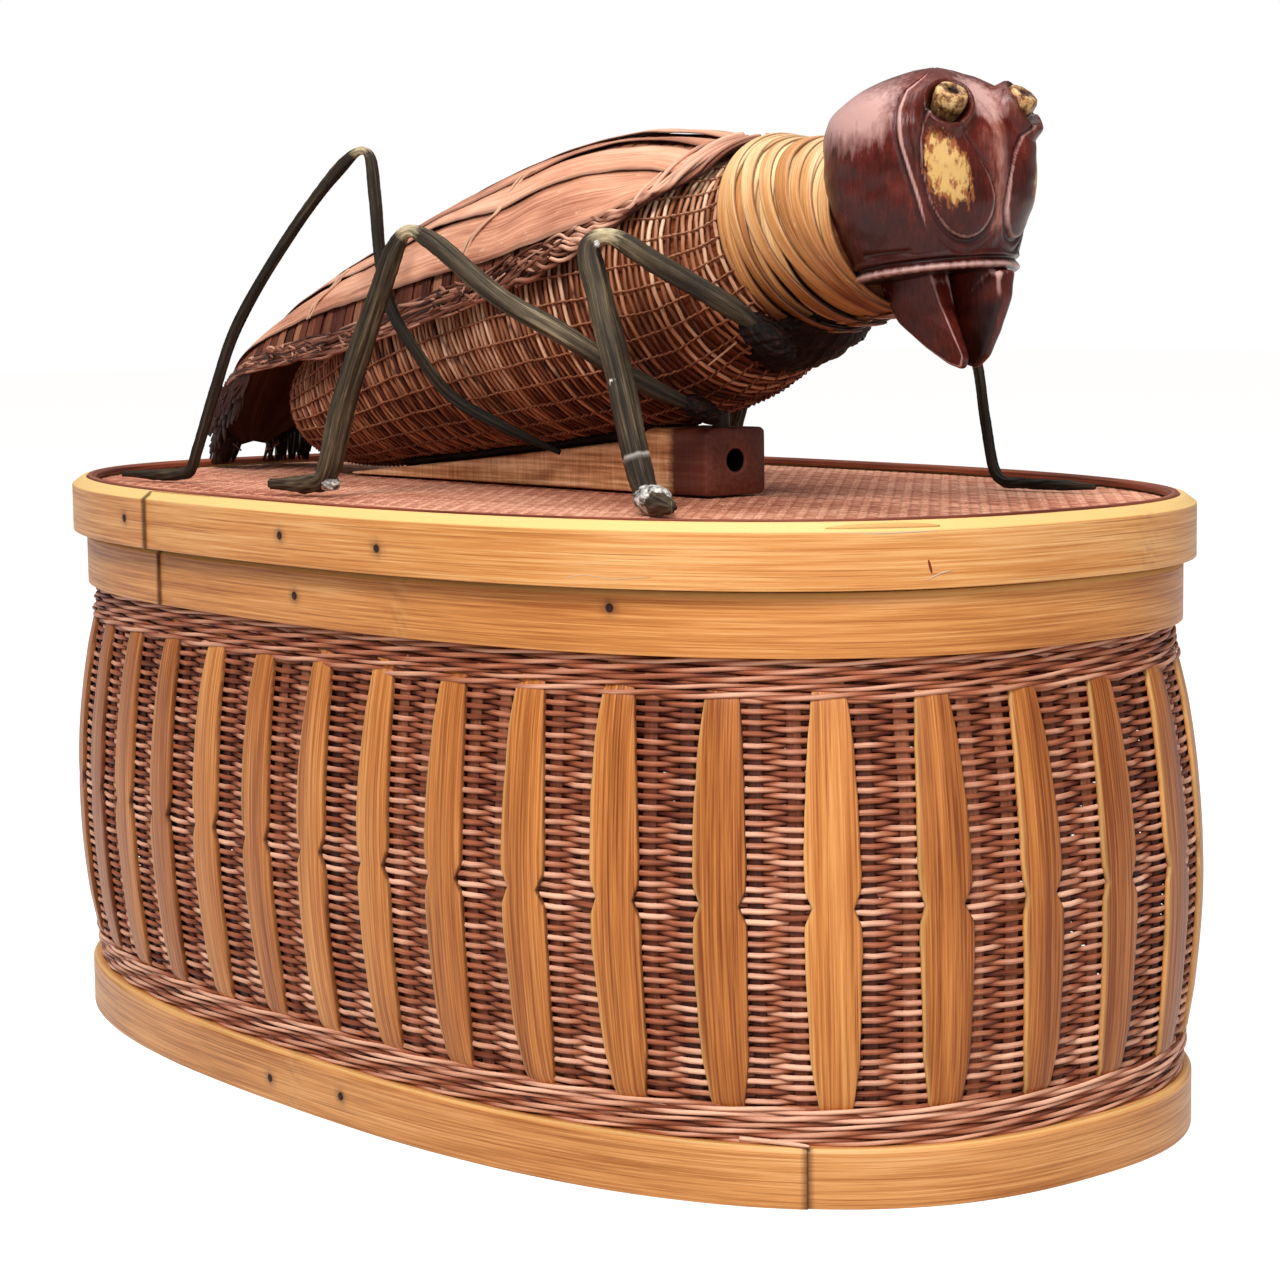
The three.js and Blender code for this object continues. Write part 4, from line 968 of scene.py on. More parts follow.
def build_cover():
    """The wing cover: cross splints under long splints that overlap like leaves."""
    x = np.concatenate([np.linspace(-147.6, -137, 10), np.linspace(-135, 64.6, 120)])
    share = np.linspace(-1, 1, 60)
    limit = hem_arc(x)[:, None]
    shell = np.concatenate([cover_point(x[:, None], share * limit, -0.75),
                            cover_point(x[:, None], share[::-1] * limit, -1.3)], 1)
    # the lining is darkened throughout as painted shade: it shows only in the gaps between the splints and
    # inside the hood
    piece("cover_lining", [tubes(shell, False, x, np.arange(121) * 0.9, dark=0.55)], under_splint,
          "lid", ["wing_cover"])
    parts = []
    random = np.random.default_rng(41)
    section = flat_section(8, 3.5)
    for k, middle in enumerate(np.arange(-143, 62, 4.3)):
        reach = float(hem_arc(middle)) - 0.6
        if reach < 3:
            continue
        arc = np.linspace(-reach, reach, 40)[:, None]
        place = middle + 0.8 * random.normal() * arc / 50 + 1.95 * section[:, 0]
        over = -0.35 + 0.3 * section[:, 1] + 0.1 * random.normal()
        # a little painted shade along each cross splint's edges
        parts.append(tubes(cover_point(place, arc, over), False, arc[:, 0] + 200 * k,
                           tint=0.12 * random.normal(), dark=0.2 * np.abs(section[:, 0]) ** 4))
    piece("cross_splints", parts, under_splint, "lid")
    parts = []
    for hand in (-1, 1):
        for number, edges in enumerate(splint_edges):
            if number == 0 and hand == 1:
                continue       # the ridge's splint is one for both wings
            start, end = edges[0][0], edges[-1][0]
            x = np.linspace(start, end, 110)
            low, high = between(edges, x)
            tuck = np.minimum(smooth(x, start, start + 12), 1 - 0.5 * smooth(x, 52, end))[:, None]
            arc, over, girth, around = cover_strip(
                x, low, np.minimum(high, hem_arc(x) - 0.5), 600 + 10 * number + hand)
            over = over * tuck - 0.25 * (1 - tuck) + 0.12 * (3 - number)
            # painted shade along both edges, in the gaps where splints meet, and a painted highlight along
            # the lower edge
            parts.append(tubes(cover_point(x[:, None], hand * arc, over), False, x + 251 * number + 97 * hand,
                               girth, tint=0.05 * random.normal() - 0.02 * number,
                               dark=0.7 * smooth(np.abs(around), 0.9, 1.0),
                               pale=0.35 * smooth(around, 0.8, 0.95) * (around < 0.99)))
    piece("long_wing_splints", parts, wing_splint, "lid", crease=50)
    parts = []
    share = np.linspace(0, 1, 30)
    for hand in (-1, 1):
        for route in stitches:
            for side in (-0.55, 0.55):
                x, arc = columns_along(route, len(share))
                over = 1.05 + 0.3 * np.sin(11 * share + side)
                parts.append(on_cover(x + side + 0.2 * np.sin(9 * share), arc, over, 0.32, 6, hand,
                                      tint=0.12, pale=0.25))
    piece("wing_stitches", parts, body_cane, "lid")


def on_cover(x, arc, over, radius, sides, hand, **shades):
    """Round strands on the cover, from (..., step) arrays of station, arc and height."""
    return tubes(laid(cover_point, (x, hand * arc), over, radius, radius, round_section(sides)), **shades)


# Frayed ends of a hem: [how many, first x, last x, length, heading, its scatter in radians]
frays = [(60, -142, -40, 5, 0.5, 0.25), (28, -40, -2, 17, 0.03, 0.12), (34, -12, 4, 4.5, 0.6, 0.9),
         (24, 0, 34, 14, -0.25, 0.2), (26, 6, 28, 5, -0.6, 0.7)]


HEM_FRONT, HEM_LENGTH = 64.9, 212.5
BRAID_LENGTH = 21        # of one turn of the plait at the front


def build_hems():
    """Each hem: loose strands along the edge that plait where the wings meet at the front,
    short frayed ends over the tail, and a ragged knot half way along."""
    random = np.random.default_rng(51)
    count = 15
    share = np.linspace(0, 1, 260)
    # x is crowded towards the front, where the hem climbs steeply to the ridge
    x = HEM_FRONT - HEM_LENGTH * share ** 1.35
    edge = hem_arc(x)
    run = np.gradient(edge, x)
    slope = np.sqrt(1 + run ** 2)
    front = smooth(x, 8, 45)
    tail = 1 - 0.55 * smooth(-x, 90, 147)
    lane = np.linspace(-3.4, 2.6, count)[:, None]
    phase = np.arange(count)[:, None] * 2.4
    weave = np.sin(2 * np.pi * x / np.where(x > 20, BRAID_LENGTH, 34) + phase)
    twist = np.cos(2 * np.pi * x / BRAID_LENGTH + phase)
    # painted light in the plait: a strand gets painted shade where it goes under the others
    dark = 0.6 * smooth(-twist, 0.1, 0.9) * front
    for hand, node in ((-1, "right_wing_hem"), (1, "left_wing_hem")):
        wander = wobbles(share, 700 + 40 * hand, count, (3, 6, 11, 19))
        offset = lane * tail * (1 + 0.15 * front) + weave * (0.5 + 2.3 * front) * tail + 0.5 * wander
        arc = edge + 0.6 + offset / slope
        place = x + offset * run / slope
        over = 0.1 + 0.8 * twist * (0.3 + 0.7 * front) + 0.3 * wander
        radius = 0.42 + 0.1 * drawn(random, (count, 1), 1.4)
        radius = radius * (1 - 0.35 * smooth(-x, 110, 147) + 0.25 * front)
        # 0.26 * twist * front is a painted highlight where a strand lies on top of the plait
        tint = 0.1 * drawn(random, (count, 1), 1.5) + 0.06 * front + 0.04 * wander + 0.26 * twist * front
        parts = [on_cover(np.clip(place, -148.2, 65.8), np.maximum(arc, 0.2), over, radius, 5, hand,
                          tint=tint[..., None], dark=dark[..., None])]
        parts += [frayed(random, hand, *spec) for spec in frays]
        parts.append(tail_fringe(random, hand))
        piece(node.replace("_wing_", "_braided_"), parts, braid_cane, "lid", [node])


def tail_fringe(random, hand):
    """Broken ends of the hood's splints, which hang from the tail's rim down to the panel."""
    each = (120, 1)
    start = -147.8 + 36 * random.uniform(0, 1, size=each) ** 1.5
    share = np.linspace(0, 1, 8)
    rim = cover_point(start, hand * (hem_arc(start) + 0.5), -0.6)
    reach = np.minimum(rim[..., 2] - PANEL_TOP - 1.0, random.uniform(4, 14, size=each))
    lean = drawn(random, (2,) + each, 1.5)
    points = np.stack([rim[..., 0] - 2.5 * share + 1.2 * lean[0] * share,
                       rim[..., 1] + hand * 1.2 * share + lean[1] * share ** 2,
                       rim[..., 2] + 1.0 - (reach + 1.0) * share], -1)
    along = unit(np.gradient(points, axis=1))
    across = unit(np.cross(along, LEFT))
    width = random.uniform(0.7, 1.8, size=each) * (1 - 0.5 * share ** 3)
    skin = strands(points, across, np.cross(across, along), width, 0.2, flat_section(6, 3.0))
    # the broken ends are darkened throughout as painted shade under the hood's rim
    return tubes(skin, tint=-0.12, dark=0.6)


def frayed(random, hand, count, first, last, length, heading, scatter):
    """Short loose strands near the hem: start, heading and curl are drawn at random."""
    each = (count, 1)
    start = random.uniform(first, last, size=each)
    turn = heading + scatter * drawn(random, each, 1.6)
    reach = length * random.uniform(0.5, 1.2, size=each)
    share = np.linspace(-0.5, 0.5, 7)
    x = start + reach * share * np.cos(turn)
    lane = random.uniform(-3.2, 2.4, size=each) + reach * share * np.sin(turn) * 0.55
    curl = 1.2 * (share ** 2 * 4 - 1) * random.normal(size=each) * 0.3
    arc = hem_arc(np.clip(x, -147, 64)) + 0.6 + lane + curl
    over = 0.5 + 0.5 * random.uniform(-1, 1, size=each) + 1.1 * share * random.normal(size=each)
    radius = random.uniform(0.28, 0.5, size=each) * (1 - 0.4 * (2 * np.abs(share)) ** 4)
    return on_cover(x, arc, over, radius, 5, hand, tint=0.16 * drawn(random, each + (1,), 1.5))


# The neck, the head and what it carries

NECK_START = np.array([78.8, 0, 192.6])
NECK_RISE, NECK_LEAN = math.radians(4), math.radians(15)
NECK_AXIS = np.array([math.cos(NECK_RISE), 0, math.sin(NECK_RISE)])
NECK_UP = np.array([-math.sin(NECK_LEAN), 0, math.cos(NECK_LEAN)])
NECK_LENGTH, NECK_RADIUS, NECK_SLIMMER = 25.6, 19.2, 2.0


def neck_point(along, angle, over):
    """A point by its distance along the neck, the angle round it and its height over the core."""
    along, angle, over = np.broadcast_arrays(along, angle, over)
    radius = NECK_RADIUS - NECK_SLIMMER * along / NECK_LENGTH + over
    return (NECK_START + along[..., None] * NECK_AXIS + (radius * np.sin(angle))[..., None] * LEFT
            + (radius * np.cos(angle))[..., None] * NECK_UP)


# Each strip: [distance along at the top, how much further along at the bottom, half width, layer]
neck_strips = [
    [-2.0, 1.2, 2.1, 5.4], [0.6, 3.0, 2.2, 3.6], [3.6, 0.6, 2.0, 2.2], [5.6, 4.6, 2.1, 0.6],
    [8.6, 1.0, 2.0, 1.8], [11.4, 3.8, 2.2, 0.2], [14.2, 0.6, 2.0, 1.4], [16.8, 3.2, 2.1, 0.4],
    [19.8, 0.8, 2.0, 1.6],
    [22.2, 1.6, 1.9, 0.2], [24.8, 0.4, 1.7, 1.0], [0.4, 12.5, 1.9, 4.6], [4.4, 15.5, 1.8, 3.2],
    [9.8, 13.0, 2.0, 3.0], [14.6, 9.6, 1.8, 2.8], [-2.6, 8.0, 1.5, 5.8], [18.4, 6.2, 1.7, 2.4]]


def build_neck():
    """Flat splints wound round the neck. They lean forward as they go down, some much more
    than others, so that they cross and fan out."""
    along = np.linspace(0.4, NECK_LENGTH, 14)
    core = neck_point(along[:, None], turns(64), 0.0)
    piece("neck_core_drum", [tubes(core, False, along, np.arange(65) * 1.9, dark=0.5)],
          body_ground, "lid", ["neck_core"])
    random = np.random.default_rng(61)
    section = flat_section(14, 4.5)
    girth = np.append(section[:, 0], section[0, 0]) * 2.4
    angle = np.linspace(-1.06 * np.pi, 1.06 * np.pi, 120)
    down = (1 - np.cos(angle)) / 2
    crown = 0.22 * (1 - section[:, 0] ** 2)
    # painted shade along the strips' edges where they overlap, and towards the underside of the neck
    dark = 0.7 * smooth(np.abs(section[:, 0]), 0.84, 1.0) + 0.2 * smooth(down, 0.6, 1.0)[:, None]
    parts = []
    for number, (top, further, half, layer) in enumerate(neck_strips):
        drift, spread, lift = (wobble(angle / ONE_TURN, seed + number, waves) for seed, waves in (
            (800, (2, 3, 5)), (820, (2, 4, 7)), (840, (3, 5))))
        middle = top + further * down + 0.5 * drift
        width = half * (1 + 0.12 * spread)
        over = 0.7 + 0.4 * layer + 0.1 * lift + 0.5 * smooth(np.abs(angle), 3.0, 3.3)
        tilt = 0.18 * random.normal()
        place = middle[:, None] + width[:, None] * section[:, 0]
        height = over[:, None] + crown + 0.3 * section[:, 1] + tilt * section[:, 0]
        points = neck_point(place, angle[:, None], height)
        # painted light: the strips are lighter above and darker towards the underside
        tint = 0.05 * random.normal() + 0.16 - 0.3 * down[:, None]
        parts.append(tubes(points, False, angle * 19 + 131 * number, girth, tint=tint, dark=dark))
    piece("neck_splints", parts, neck_splint, "lid", ["neck_wrap"], 60)


head_levels = [          # [height, middle, half width]
    [173.5, 119, 12.6], [177.2, 118.5, 14.5], [183.8, 117.6, 16.9], [189, 116.4, 18.8], [193.5, 115.9, 20.3],
    [199, 115.6, 21.5], [206.5, 115.2, 22], [212.6, 115, 21.5], [216.7, 115.4, 19.6], [220.2, 116.2, 15.8],
    [223.2, 116.9, 10.2], [225, 117, 4.8], [225.6, 117, 1.2]]
HEAD_LENGTH = 0.95       # the head's length over its width
HEAD_TOP = 225.6
MOUTH_X, MOUTH_Z, MOUTH_RISE = 118.0, 182.6, math.radians(7)
KNOB_BASE = (129.0, 9.4, 214.6)
KNOB_AXIS = unit(np.array([0.602, 0.128, 0.788]))
MM_PER_DEGREE = 0.37     # of the way round the head


def knob_frame(hand):
    """Where a knob stands, with the direction that it points in."""
    mirror = np.array([1, hand, 1])
    return np.array(KNOB_BASE) * mirror, KNOB_AXIS * mirror


def carve(z, angle, x, y):
    """How far the carving stands out from the head's plain form, where it is rubbed pale or lit by a
    painted highlight, where painted shade lies deep in it, and where it is painted yellow: a groove
    behind the eye, the eye as a tilted teardrop with a rim, a keel down the face, bosses round the
    knobs, a cheek line and a ridged lip."""
    degrees = np.abs(np.degrees((angle + np.pi) % (2 * np.pi) - np.pi))
    round_mm = degrees * MM_PER_DEGREE
    groove_at = np.interp(z, [186, 193, 198, 210, 220.4, 223.7], [43, 47.7, 50.8, 59.5, 63.4, 54])
    fade = smooth(z, 190, 196) * (1 - smooth(z, 223, 225))
    away = (degrees - groove_at) * MM_PER_DEGREE
    groove = bump(away, 0, 0.38) * fade
    shoulder = bump(away, -0.85, 0.4) * fade
    second = bump(away, -2.6, 0.3) + 0.7 * bump(away, -3.9, 0.28)
    second = second * smooth(z, 205, 210) * (1 - smooth(z, 222, 224))
    # the eye, by distances along and across its tilted teardrop
    tilt = math.radians(21)
    dz, da = z - 203.2, round_mm - 10.4
    long = dz * math.cos(tilt) + da * math.sin(tilt)
    wide = da * math.cos(tilt) - dz * math.sin(tilt)
    distance = np.sqrt((long / 13.2) ** 2 + (wide / (6.6 - 0.16 * long)) ** 2)
    dome = np.sqrt(np.clip(1 - distance ** 2.4, 0, 1))
    rim = bump(distance, 1.05, 0.045)
    outer_rim = bump(distance, 1.22, 0.035) * (1 - smooth(z, 192, 197))
    hollow = bump(round_mm, 5.2, 2.6) * smooth(z, 196, 204) * (1 - smooth(z, 212, 218))
    keel = bump(degrees, 0, 7) * smooth(z, 188, 194) * (1 - smooth(z, 210, 218))
    saddle = bump(np.hypot(y, (x - 131) * 0.8), 0, 5.0) * smooth(z, 212, 216)
    boss, pocket = 0, 0
    for hand in (-1, 1):
        base, axis = knob_frame(hand)
        offset = np.stack([x, y, z], -1) - base
        along = (offset * axis).sum(-1)
        from_axis = np.linalg.norm(offset - along[..., None] * axis, axis=-1)
        boss = boss + (1 - smooth(from_axis, 4.6, 6.4)) * smooth(along, -6, 0)
        pocket = pocket + (1 - smooth(from_axis, 3.6, 4.3)) * smooth(along, -6, 0)
    lip_height = (z - MOUTH_Z) - (x - MOUTH_X) * math.tan(MOUTH_RISE)
    lip = bump(lip_height, 0.9, 0.7)
    lip_groove = bump(lip_height, 2.2, 0.45)
    upper_lip = bump(lip_height, 3.1, 0.5)
    cheek = bump(z - 187.3 - 0.02 * (90 - degrees), 0, 0.45)
    cheek = cheek * smooth(degrees, 54, 60) * (1 - smooth(degrees, 92, 100))
    knife = 0.16 * wobble(z / 50 + angle / 9, 901, (3, 5, 8))
    knife = knife + 0.1 * wobble(z / 50 - angle / 5, 902, (5, 9, 13))
    out = (knife - 0.6 * groove + 0.22 * shoulder - 0.35 * second + 1.5 * dome - 0.5 * rim
           - 0.35 * outer_rim - 0.7 * hollow + 0.75 * keel - 1.2 * saddle + 2.4 * boss - 3.2 * pocket
           + 0.75 * lip - 0.5 * lip_groove + 0.3 * upper_lip - 0.35 * cheek)
    # dark is painted shade in the grooves, the eye's rim, the cheek line and the knob pockets, with a darker
    # collar on the bosses; pale is painted highlight on the groove's shoulder, the eye's inner edge, the
    # brow's saddle and the upper side, and on the keel and lip partly rubbed wear and partly painted
    # highlight
    dark = np.clip(0.7 * groove + 0.6 * rim + 0.5 * lip_groove + 0.5 * cheek + 0.4 * second + 0.9 * pocket
                   + 0.35 * boss * (1 - pocket), 0, 1)
    pale = np.clip(0.8 * shoulder + 0.35 * keel + 0.7 * lip + 0.8 * saddle + 0.5 * bump(distance, 0.97, 0.04)
                   + 0.8 * bump(z, 216, 7.5) * smooth(degrees, 50, 80), 0, 1)
    patch = np.hypot((long - 1.8) / 8.2, (wide - np.where(y > 0, 4.6, 1.4)) / (5.0 - 0.1 * long))
    paint = 1 - smooth(patch, 0.4, 1.45)
    # painted light: lighter towards the top and darker towards the mouth; redder on the keel
    tint = 0.16 * bump(z, 217, 10) - 0.08 * (1 - smooth(z, 186, 198)) + 0.22 * keel
    return out, {"dark": dark, "pale": pale, "mark": paint, "tint": tint}


def build_head():
    """The carved head, on the same level sections as its solid, with a flat mouth."""
    sides = 320
    angle = turns(sides)
    low = np.full(sides, MOUTH_Z)
    for _ in range(8):
        middle, half = between(head_levels, low)
        low = MOUTH_Z + (middle + HEAD_LENGTH * half * np.cos(angle) - MOUTH_X) * math.tan(MOUTH_RISE)
    share = np.concatenate([np.linspace(0, 0.1, 24)[:-1], np.linspace(0.1, 0.93, 120)[:-1],
                            0.93 + 0.07 * np.sin(np.linspace(0, np.pi / 2, 22))])[:, None]
    z = low + share * (HEAD_TOP - low)
    middle, half = between(head_levels, z)
    plain = np.stack([middle + HEAD_LENGTH * half * np.cos(angle), half * np.sin(angle), z], -1)
    around = np.roll(plain, -1, 1) - np.roll(plain, 1, 1)
    normal = unit(np.cross(around, np.gradient(plain, axis=0)))
    out, shades = carve(z, angle, plain[..., 0], plain[..., 1])
    points = plain + normal * out[..., None]
    points[..., 2] = np.maximum(points[..., 2], low)
    centre = np.array([MOUTH_X - 0.5, 0, MOUTH_Z])
    caps = np.array([0.02, 0.35, 0.65, 0.85, 0.95])[:, None, None]
    points = np.concatenate([centre + (points[0] - centre) * caps, points])
    shades = {name: np.concatenate([np.broadcast_to(value[:1], (len(caps), sides)), value])
              for name, value in shades.items()}
    # the mouth's flat underside is painted black: painted shade under the head
    shades["dark"][:len(caps)] = 1.0
    piece("carved_head", [tubes(points, **shades)], lacquer, "lid", ["head"])


def build_knobs():
    """Two short turned knobs with a drilled end, leaning out of their pockets."""
    profile = np.array([[0.05, 0.0], [2.4, 0.0], [2.9, 0.3], [3.05, 1.5], [3.2, 3.0], [3.55, 4.4],
                        [3.75, 5.6], [3.7, 6.8], [3.3, 7.7], [2.6, 8.0], [1.5, 7.95], [1.15, 7.6],
                        [1.05, 6.4], [1.0, 4.9], [0.05, 4.8]]) * [0.94, 1] - [0, 1.0]
    # painted shade down the drilled hole and over the foot, which sits deep in its pocket
    dark = np.array([1, 1, 1, 0.9, 0.75, 0.45, 0.2, 0.05, 0, 0.1, 0.5, 1, 1, 1, 1.0])[:, None]
    ring = round_section(28)
    for hand, side in ((-1, "right"), (1, "left")):
        base, axis = knob_frame(hand)
        level = unit(np.cross(axis, LEFT))
        around = ring[:, :1] * level + ring[:, 1:] * np.cross(axis, level)
        rough = 1 + 0.03 * wobble(turns(28) / ONE_TURN + profile[:, 1:] / 9, 930 + hand, (2, 3, 7))
        points = base + profile[:, 1, None, None] * axis + (profile[:, :1] * rough)[..., None] * around
        piece(f"{side}_turned_knob", [tubes(points, dark=dark)], yellow_paint,
              "lid", [f"{side}_eye_knob"])


# Side outlines as [x, z] from the mouth's middle, with the right one worn back
mandible_side = [[-11.6, 1.6], [14.6, 1.6], [15.2, -0.5], [17.2, -0.5], [16.6, -6], [13.8, -12.5],
                 [10.8, -17.6], [7.6, -19.6], [3.8, -18.2], [-1.4, -14], [-7.6, -8]]
short_mandible = [[-13.4, 1.6], [4.0, 1.6], [5.2, -6], [7.2, -12.5], [8.6, -17.6], [7.2, -19.8],
                  [3.8, -18.4], [-1.6, -14.4], [-8.2, -8.4]]


def build_mandibles():
    """Two carved tongues under the mouth: a rounded side outline that shrinks towards its
    middle by (1 - |s|^3)^(1/3) at the share s of the thickness, thinner towards the tip."""
    middle = np.array([4.0, -8.0])
    across = np.sin(np.linspace(-np.pi / 2, np.pi / 2, 26))[:, None]
    scale = (1 - np.minimum(np.abs(across), 0.9999) ** 3) ** (1 / 3)
    c, s = math.cos(MOUTH_RISE), math.sin(MOUTH_RISE)
    for hand, side, corners in ((-1, "right", short_mandible), (1, "left", mandible_side)):
        outline = divided(rounded(corners, 0.9, 4), 0.7)
        flat = middle + (outline - middle) * (0.86 + 0.14 * scale[..., None])
        flat[[0, -1]] = middle + (outline - middle) * 0.8
        x, z = flat[..., 0], flat[..., 1]
        thin = 1 - 0.65 * np.clip(z / -19.6, 0, 1)
        wave = 0.18 * wobble(x / 30 + z / 25, 940 + hand, (2, 3, 5))
        y = hand * (0.8 + (across + 1) * 2.8 * thin + wave * np.abs(across))
        points = np.stack([MOUTH_X + x * c - z * s, y, MOUTH_Z + x * s + z * c], -1)
        # painted shade on each tongue's inner face below the mouth; its rounded edges and a band under the
        # mouth are paler
        edge = smooth(np.abs(across), 0.5, 0.85) * (1 - smooth(np.abs(across), 0.93, 1.0))
        inner = smooth(-across, 0.3, 0.8) * smooth(-z, 4, 8)
        pale = np.clip(0.5 * edge * (1 - inner) + 0.3 * bump(z, -1.2, 0.8), 0, 1)
        skin = tubes(points, pale=pale, tint=0.06, dark=np.clip(0.9 * inner, 0, 1))
        piece(f"{side}_carved_mandible", [skin], lacquer, "lid", [f"{side}_mandible"])


def ball(rows, sides, pole):
    """Directions over a sphere, from near one pole to near the other."""
    polar = np.linspace(pole, np.pi - pole, rows)[:, None]
    angle = turns(sides)
    return np.stack(np.broadcast_arrays(
        np.sin(polar) * np.cos(angle), np.sin(polar) * np.sin(angle), np.cos(polar)), -1)


# Pitch over the ends of legs: [middle, direction, half sizes along, level and up]
pitch_lumps = [[(84, -17, 170.6), (-0.5, -0.62, 0.6), (7.0, 3.6, 3.8)],
               [(73, 19, 172.5), (-0.35, 0.75, 0.56), (6, 3.4, 3.4)],
               [(58.5, -14, 154.6), (-0.34, -0.82, 0.46), (5, 2.6, 2.6)]]


def build_breast():
    """The rough lump under the neck: an ellipsoid with lumps and ridges, moved off the neck,
    with the pitch over the legs' ends and a black bed between body and block as painted shade."""
    direction = ball(60, 90, 0.03)
    lumps = (0.09 * wobble(direction[..., 0] + direction[..., 2] / 2, 950, (1, 2, 3, 5))
             + 0.06 * wobble(direction[..., 1] - direction[..., 2] / 3, 951, (2, 4, 7, 11)))[..., None]
    spread = direction * np.array([16, 13.5, 7.2]) * (1 + lumps)
    spread[..., 2] = (spread[..., 2] + 1) * (1 - 0.6 * smooth(direction[..., 0], -0.1, 0.9))
    turn = math.radians(20)
    x = spread[..., 0] * math.cos(turn) - spread[..., 2] * math.sin(turn)
    z = spread[..., 0] * math.sin(turn) + spread[..., 2] * math.cos(turn)
    parts = [tubes(np.stack([78.5 + x, spread[..., 1], 170.6 + z], -1))]
    for middle, ahead, size in pitch_lumps:
        along = unit(np.array(ahead))
        level = unit(np.cross(along, UP))
        frame = np.stack([along, level, np.cross(level, along)])
        parts.append(tubes(np.array(middle) + direction * np.array(size) * (1 + 1.4 * lumps) @ frame))
    piece("pitch_breast", parts, pitch, "lid", ["breast"])
    # painted shade: a black bed fills the gap between the belly and the block, standing in for the shade
    # there
    x = np.linspace(-66, 33, 50)
    belly = body_point(x, np.pi, 0.0)
    low = BLOCK_LOW + wedge_height(x) - 0.1
    high = np.interp(x, belly[:, 0], belly[:, 2]) + 1.2
    section = flat_section(24, 3.0)
    width = 7.5 * (1 + 0.12 * wobble(x[:, None] / 90 + turns(24) / ONE_TURN, 955, (3, 7, 12)))
    z = (low + high)[:, None] / 2 + (high - low)[:, None] / 2 * section[:, 1]
    points = np.stack([np.broadcast_to(x[:, None], width.shape), width * section[:, 0], z], -1)
    piece("painted_shade_bed", [tubes(points)], pitch, "lid")


# The legs, the block and the peg

def foot(radius):
    """Height of a foot's middle when it lies on the lid's panel."""
    return PANEL_TOP + 0.3 + radius


STOUT = 1.5              # the near front and the middle legs are thicker than this
legs = {
    "right_front_leg": [2.2, [[85.6, -14.2, 168.4], [81.5, -23, 176], [71.5, -36, 186], [63.5, -44, 192.4],
        [60.5, -46, 190.6], [64.7, -47, 178.9], [71.1, -47, 162], [77, -47, 144.5], [80.5, -47.5, foot(3.6)],
        [84, -49, foot(2.5)], [97, -55, foot(2.3)]]],
    "right_middle_leg": [2.1, [[59, -13, 154], [53.3, -27, 161], [41.8, -40, 171.8], [29.5, -47, 179.5],
        [13.3, -54, 192.6], [7.5, -56, 194.6], [4.4, -57, 191.5], [-0.9, -58, 181.6], [-13, -60, 156.7],
        [-20.5, -61, foot(4)], [-24, -62, foot(2.6)], [-36, -66, foot(2.2)]]],
    "right_hind_leg": [1.35, [[5.2, -12, 143.2], [-2.1, -24, 149.9], [-10.8, -32, 157], [-16.1, -38, 167.6],
        [-19.6, -42, 177], [-20.4, -44, 187.4], [-19.5, -46, 203.5], [-20, -47, 212.6], [-23.5, -47, 213.8],
        [-30.7, -48, 210], [-49.7, -50, 195], [-72.2, -52, 172.4], [-80.7, -53, 157.6], [-88, -54, 143],
        [-91.2, -54.6, foot(2.4)], [-95, -56, foot(1.6)], [-113, -61, foot(1.4)]]],
    "left_front_leg": [1.15, [[76, 13, 168], [71, 26.4, 178], [66.5, 42, 189], [64.5, 50, 194.6],
        [62.6, 53, 193], [66, 54, 182], [74, 56, 165.1], [77.2, 56, 150.2], [80.4, 56, 138.6],
        [83, 56.2, foot(1.6)], [88, 57, foot(1.3)], [108, 59.5, foot(1.2)]]]}


def mirrored(route, drop):
    """A leg's route on the other side, a little lower where it is high."""
    return [[x, -y, z - (drop if z > 150 else 0)] for x, y, z in route]


legs["left_middle_leg"] = [
    2.0, [[38, 27.4, 161.6], [34, 35, 167]] + mirrored(legs["right_middle_leg"][1][3:], 3)]
legs["left_hind_leg"] = [1.3, mirrored(legs["right_hind_leg"][1], 4)]


def smooth_route(points, steps):
    """A centripetal Catmull-Rom curve through points, as evenly spaced steps."""
    points = np.array(points, float)
    points = np.concatenate([[2 * points[0] - points[1]], points, [2 * points[-1] - points[-2]]])
    knots = np.concatenate([[0], np.cumsum(np.linalg.norm(np.diff(points, axis=0), axis=1) ** 0.5)])
    curve = []
    for k in range(1, len(points) - 2):
        t = np.linspace(knots[k], knots[k + 1], 40, endpoint=False)[:, None]
        levels, at = points[k - 1:k + 3], knots[k - 1:k + 3]
        # each level mixes neighbours over one, two and then the middle one of the knot gaps
        for gap, first in ((1, 0), (2, 0), (1, 1)):
            starts = range(first, first + len(levels) - 1)
            levels = [(at[i + gap] - t) / (at[i + gap] - at[i]) * levels[n]
                      + (t - at[i]) / (at[i + gap] - at[i]) * levels[n + 1] for n, i in enumerate(starts)]
        curve.append(levels[0])
    curve = np.concatenate(curve + [points[-2:-1]])
    lengths = lengths_along(curve)
    target = np.linspace(0, lengths[-1], steps)
    return np.stack([np.interp(target, lengths, curve[:, k]) for k in range(3)], -1), target


def carried_frames(route):
    """Two directions square to a route at each step, carried along it without twisting."""
    along = unit(np.gradient(route, axis=0))
    first = unit(np.cross(along[0], [0.3, 0.2, 1.0]))
    firsts = [first]
    for here in along[1:]:
        first = firsts[-1] - here * (firsts[-1] @ here)
        firsts.append(first / np.linalg.norm(first))
    firsts = np.array(firsts)
    return firsts, np.cross(along, firsts)


FOOT_LOW = 8             # below this height over the panel a leg turns into its foot


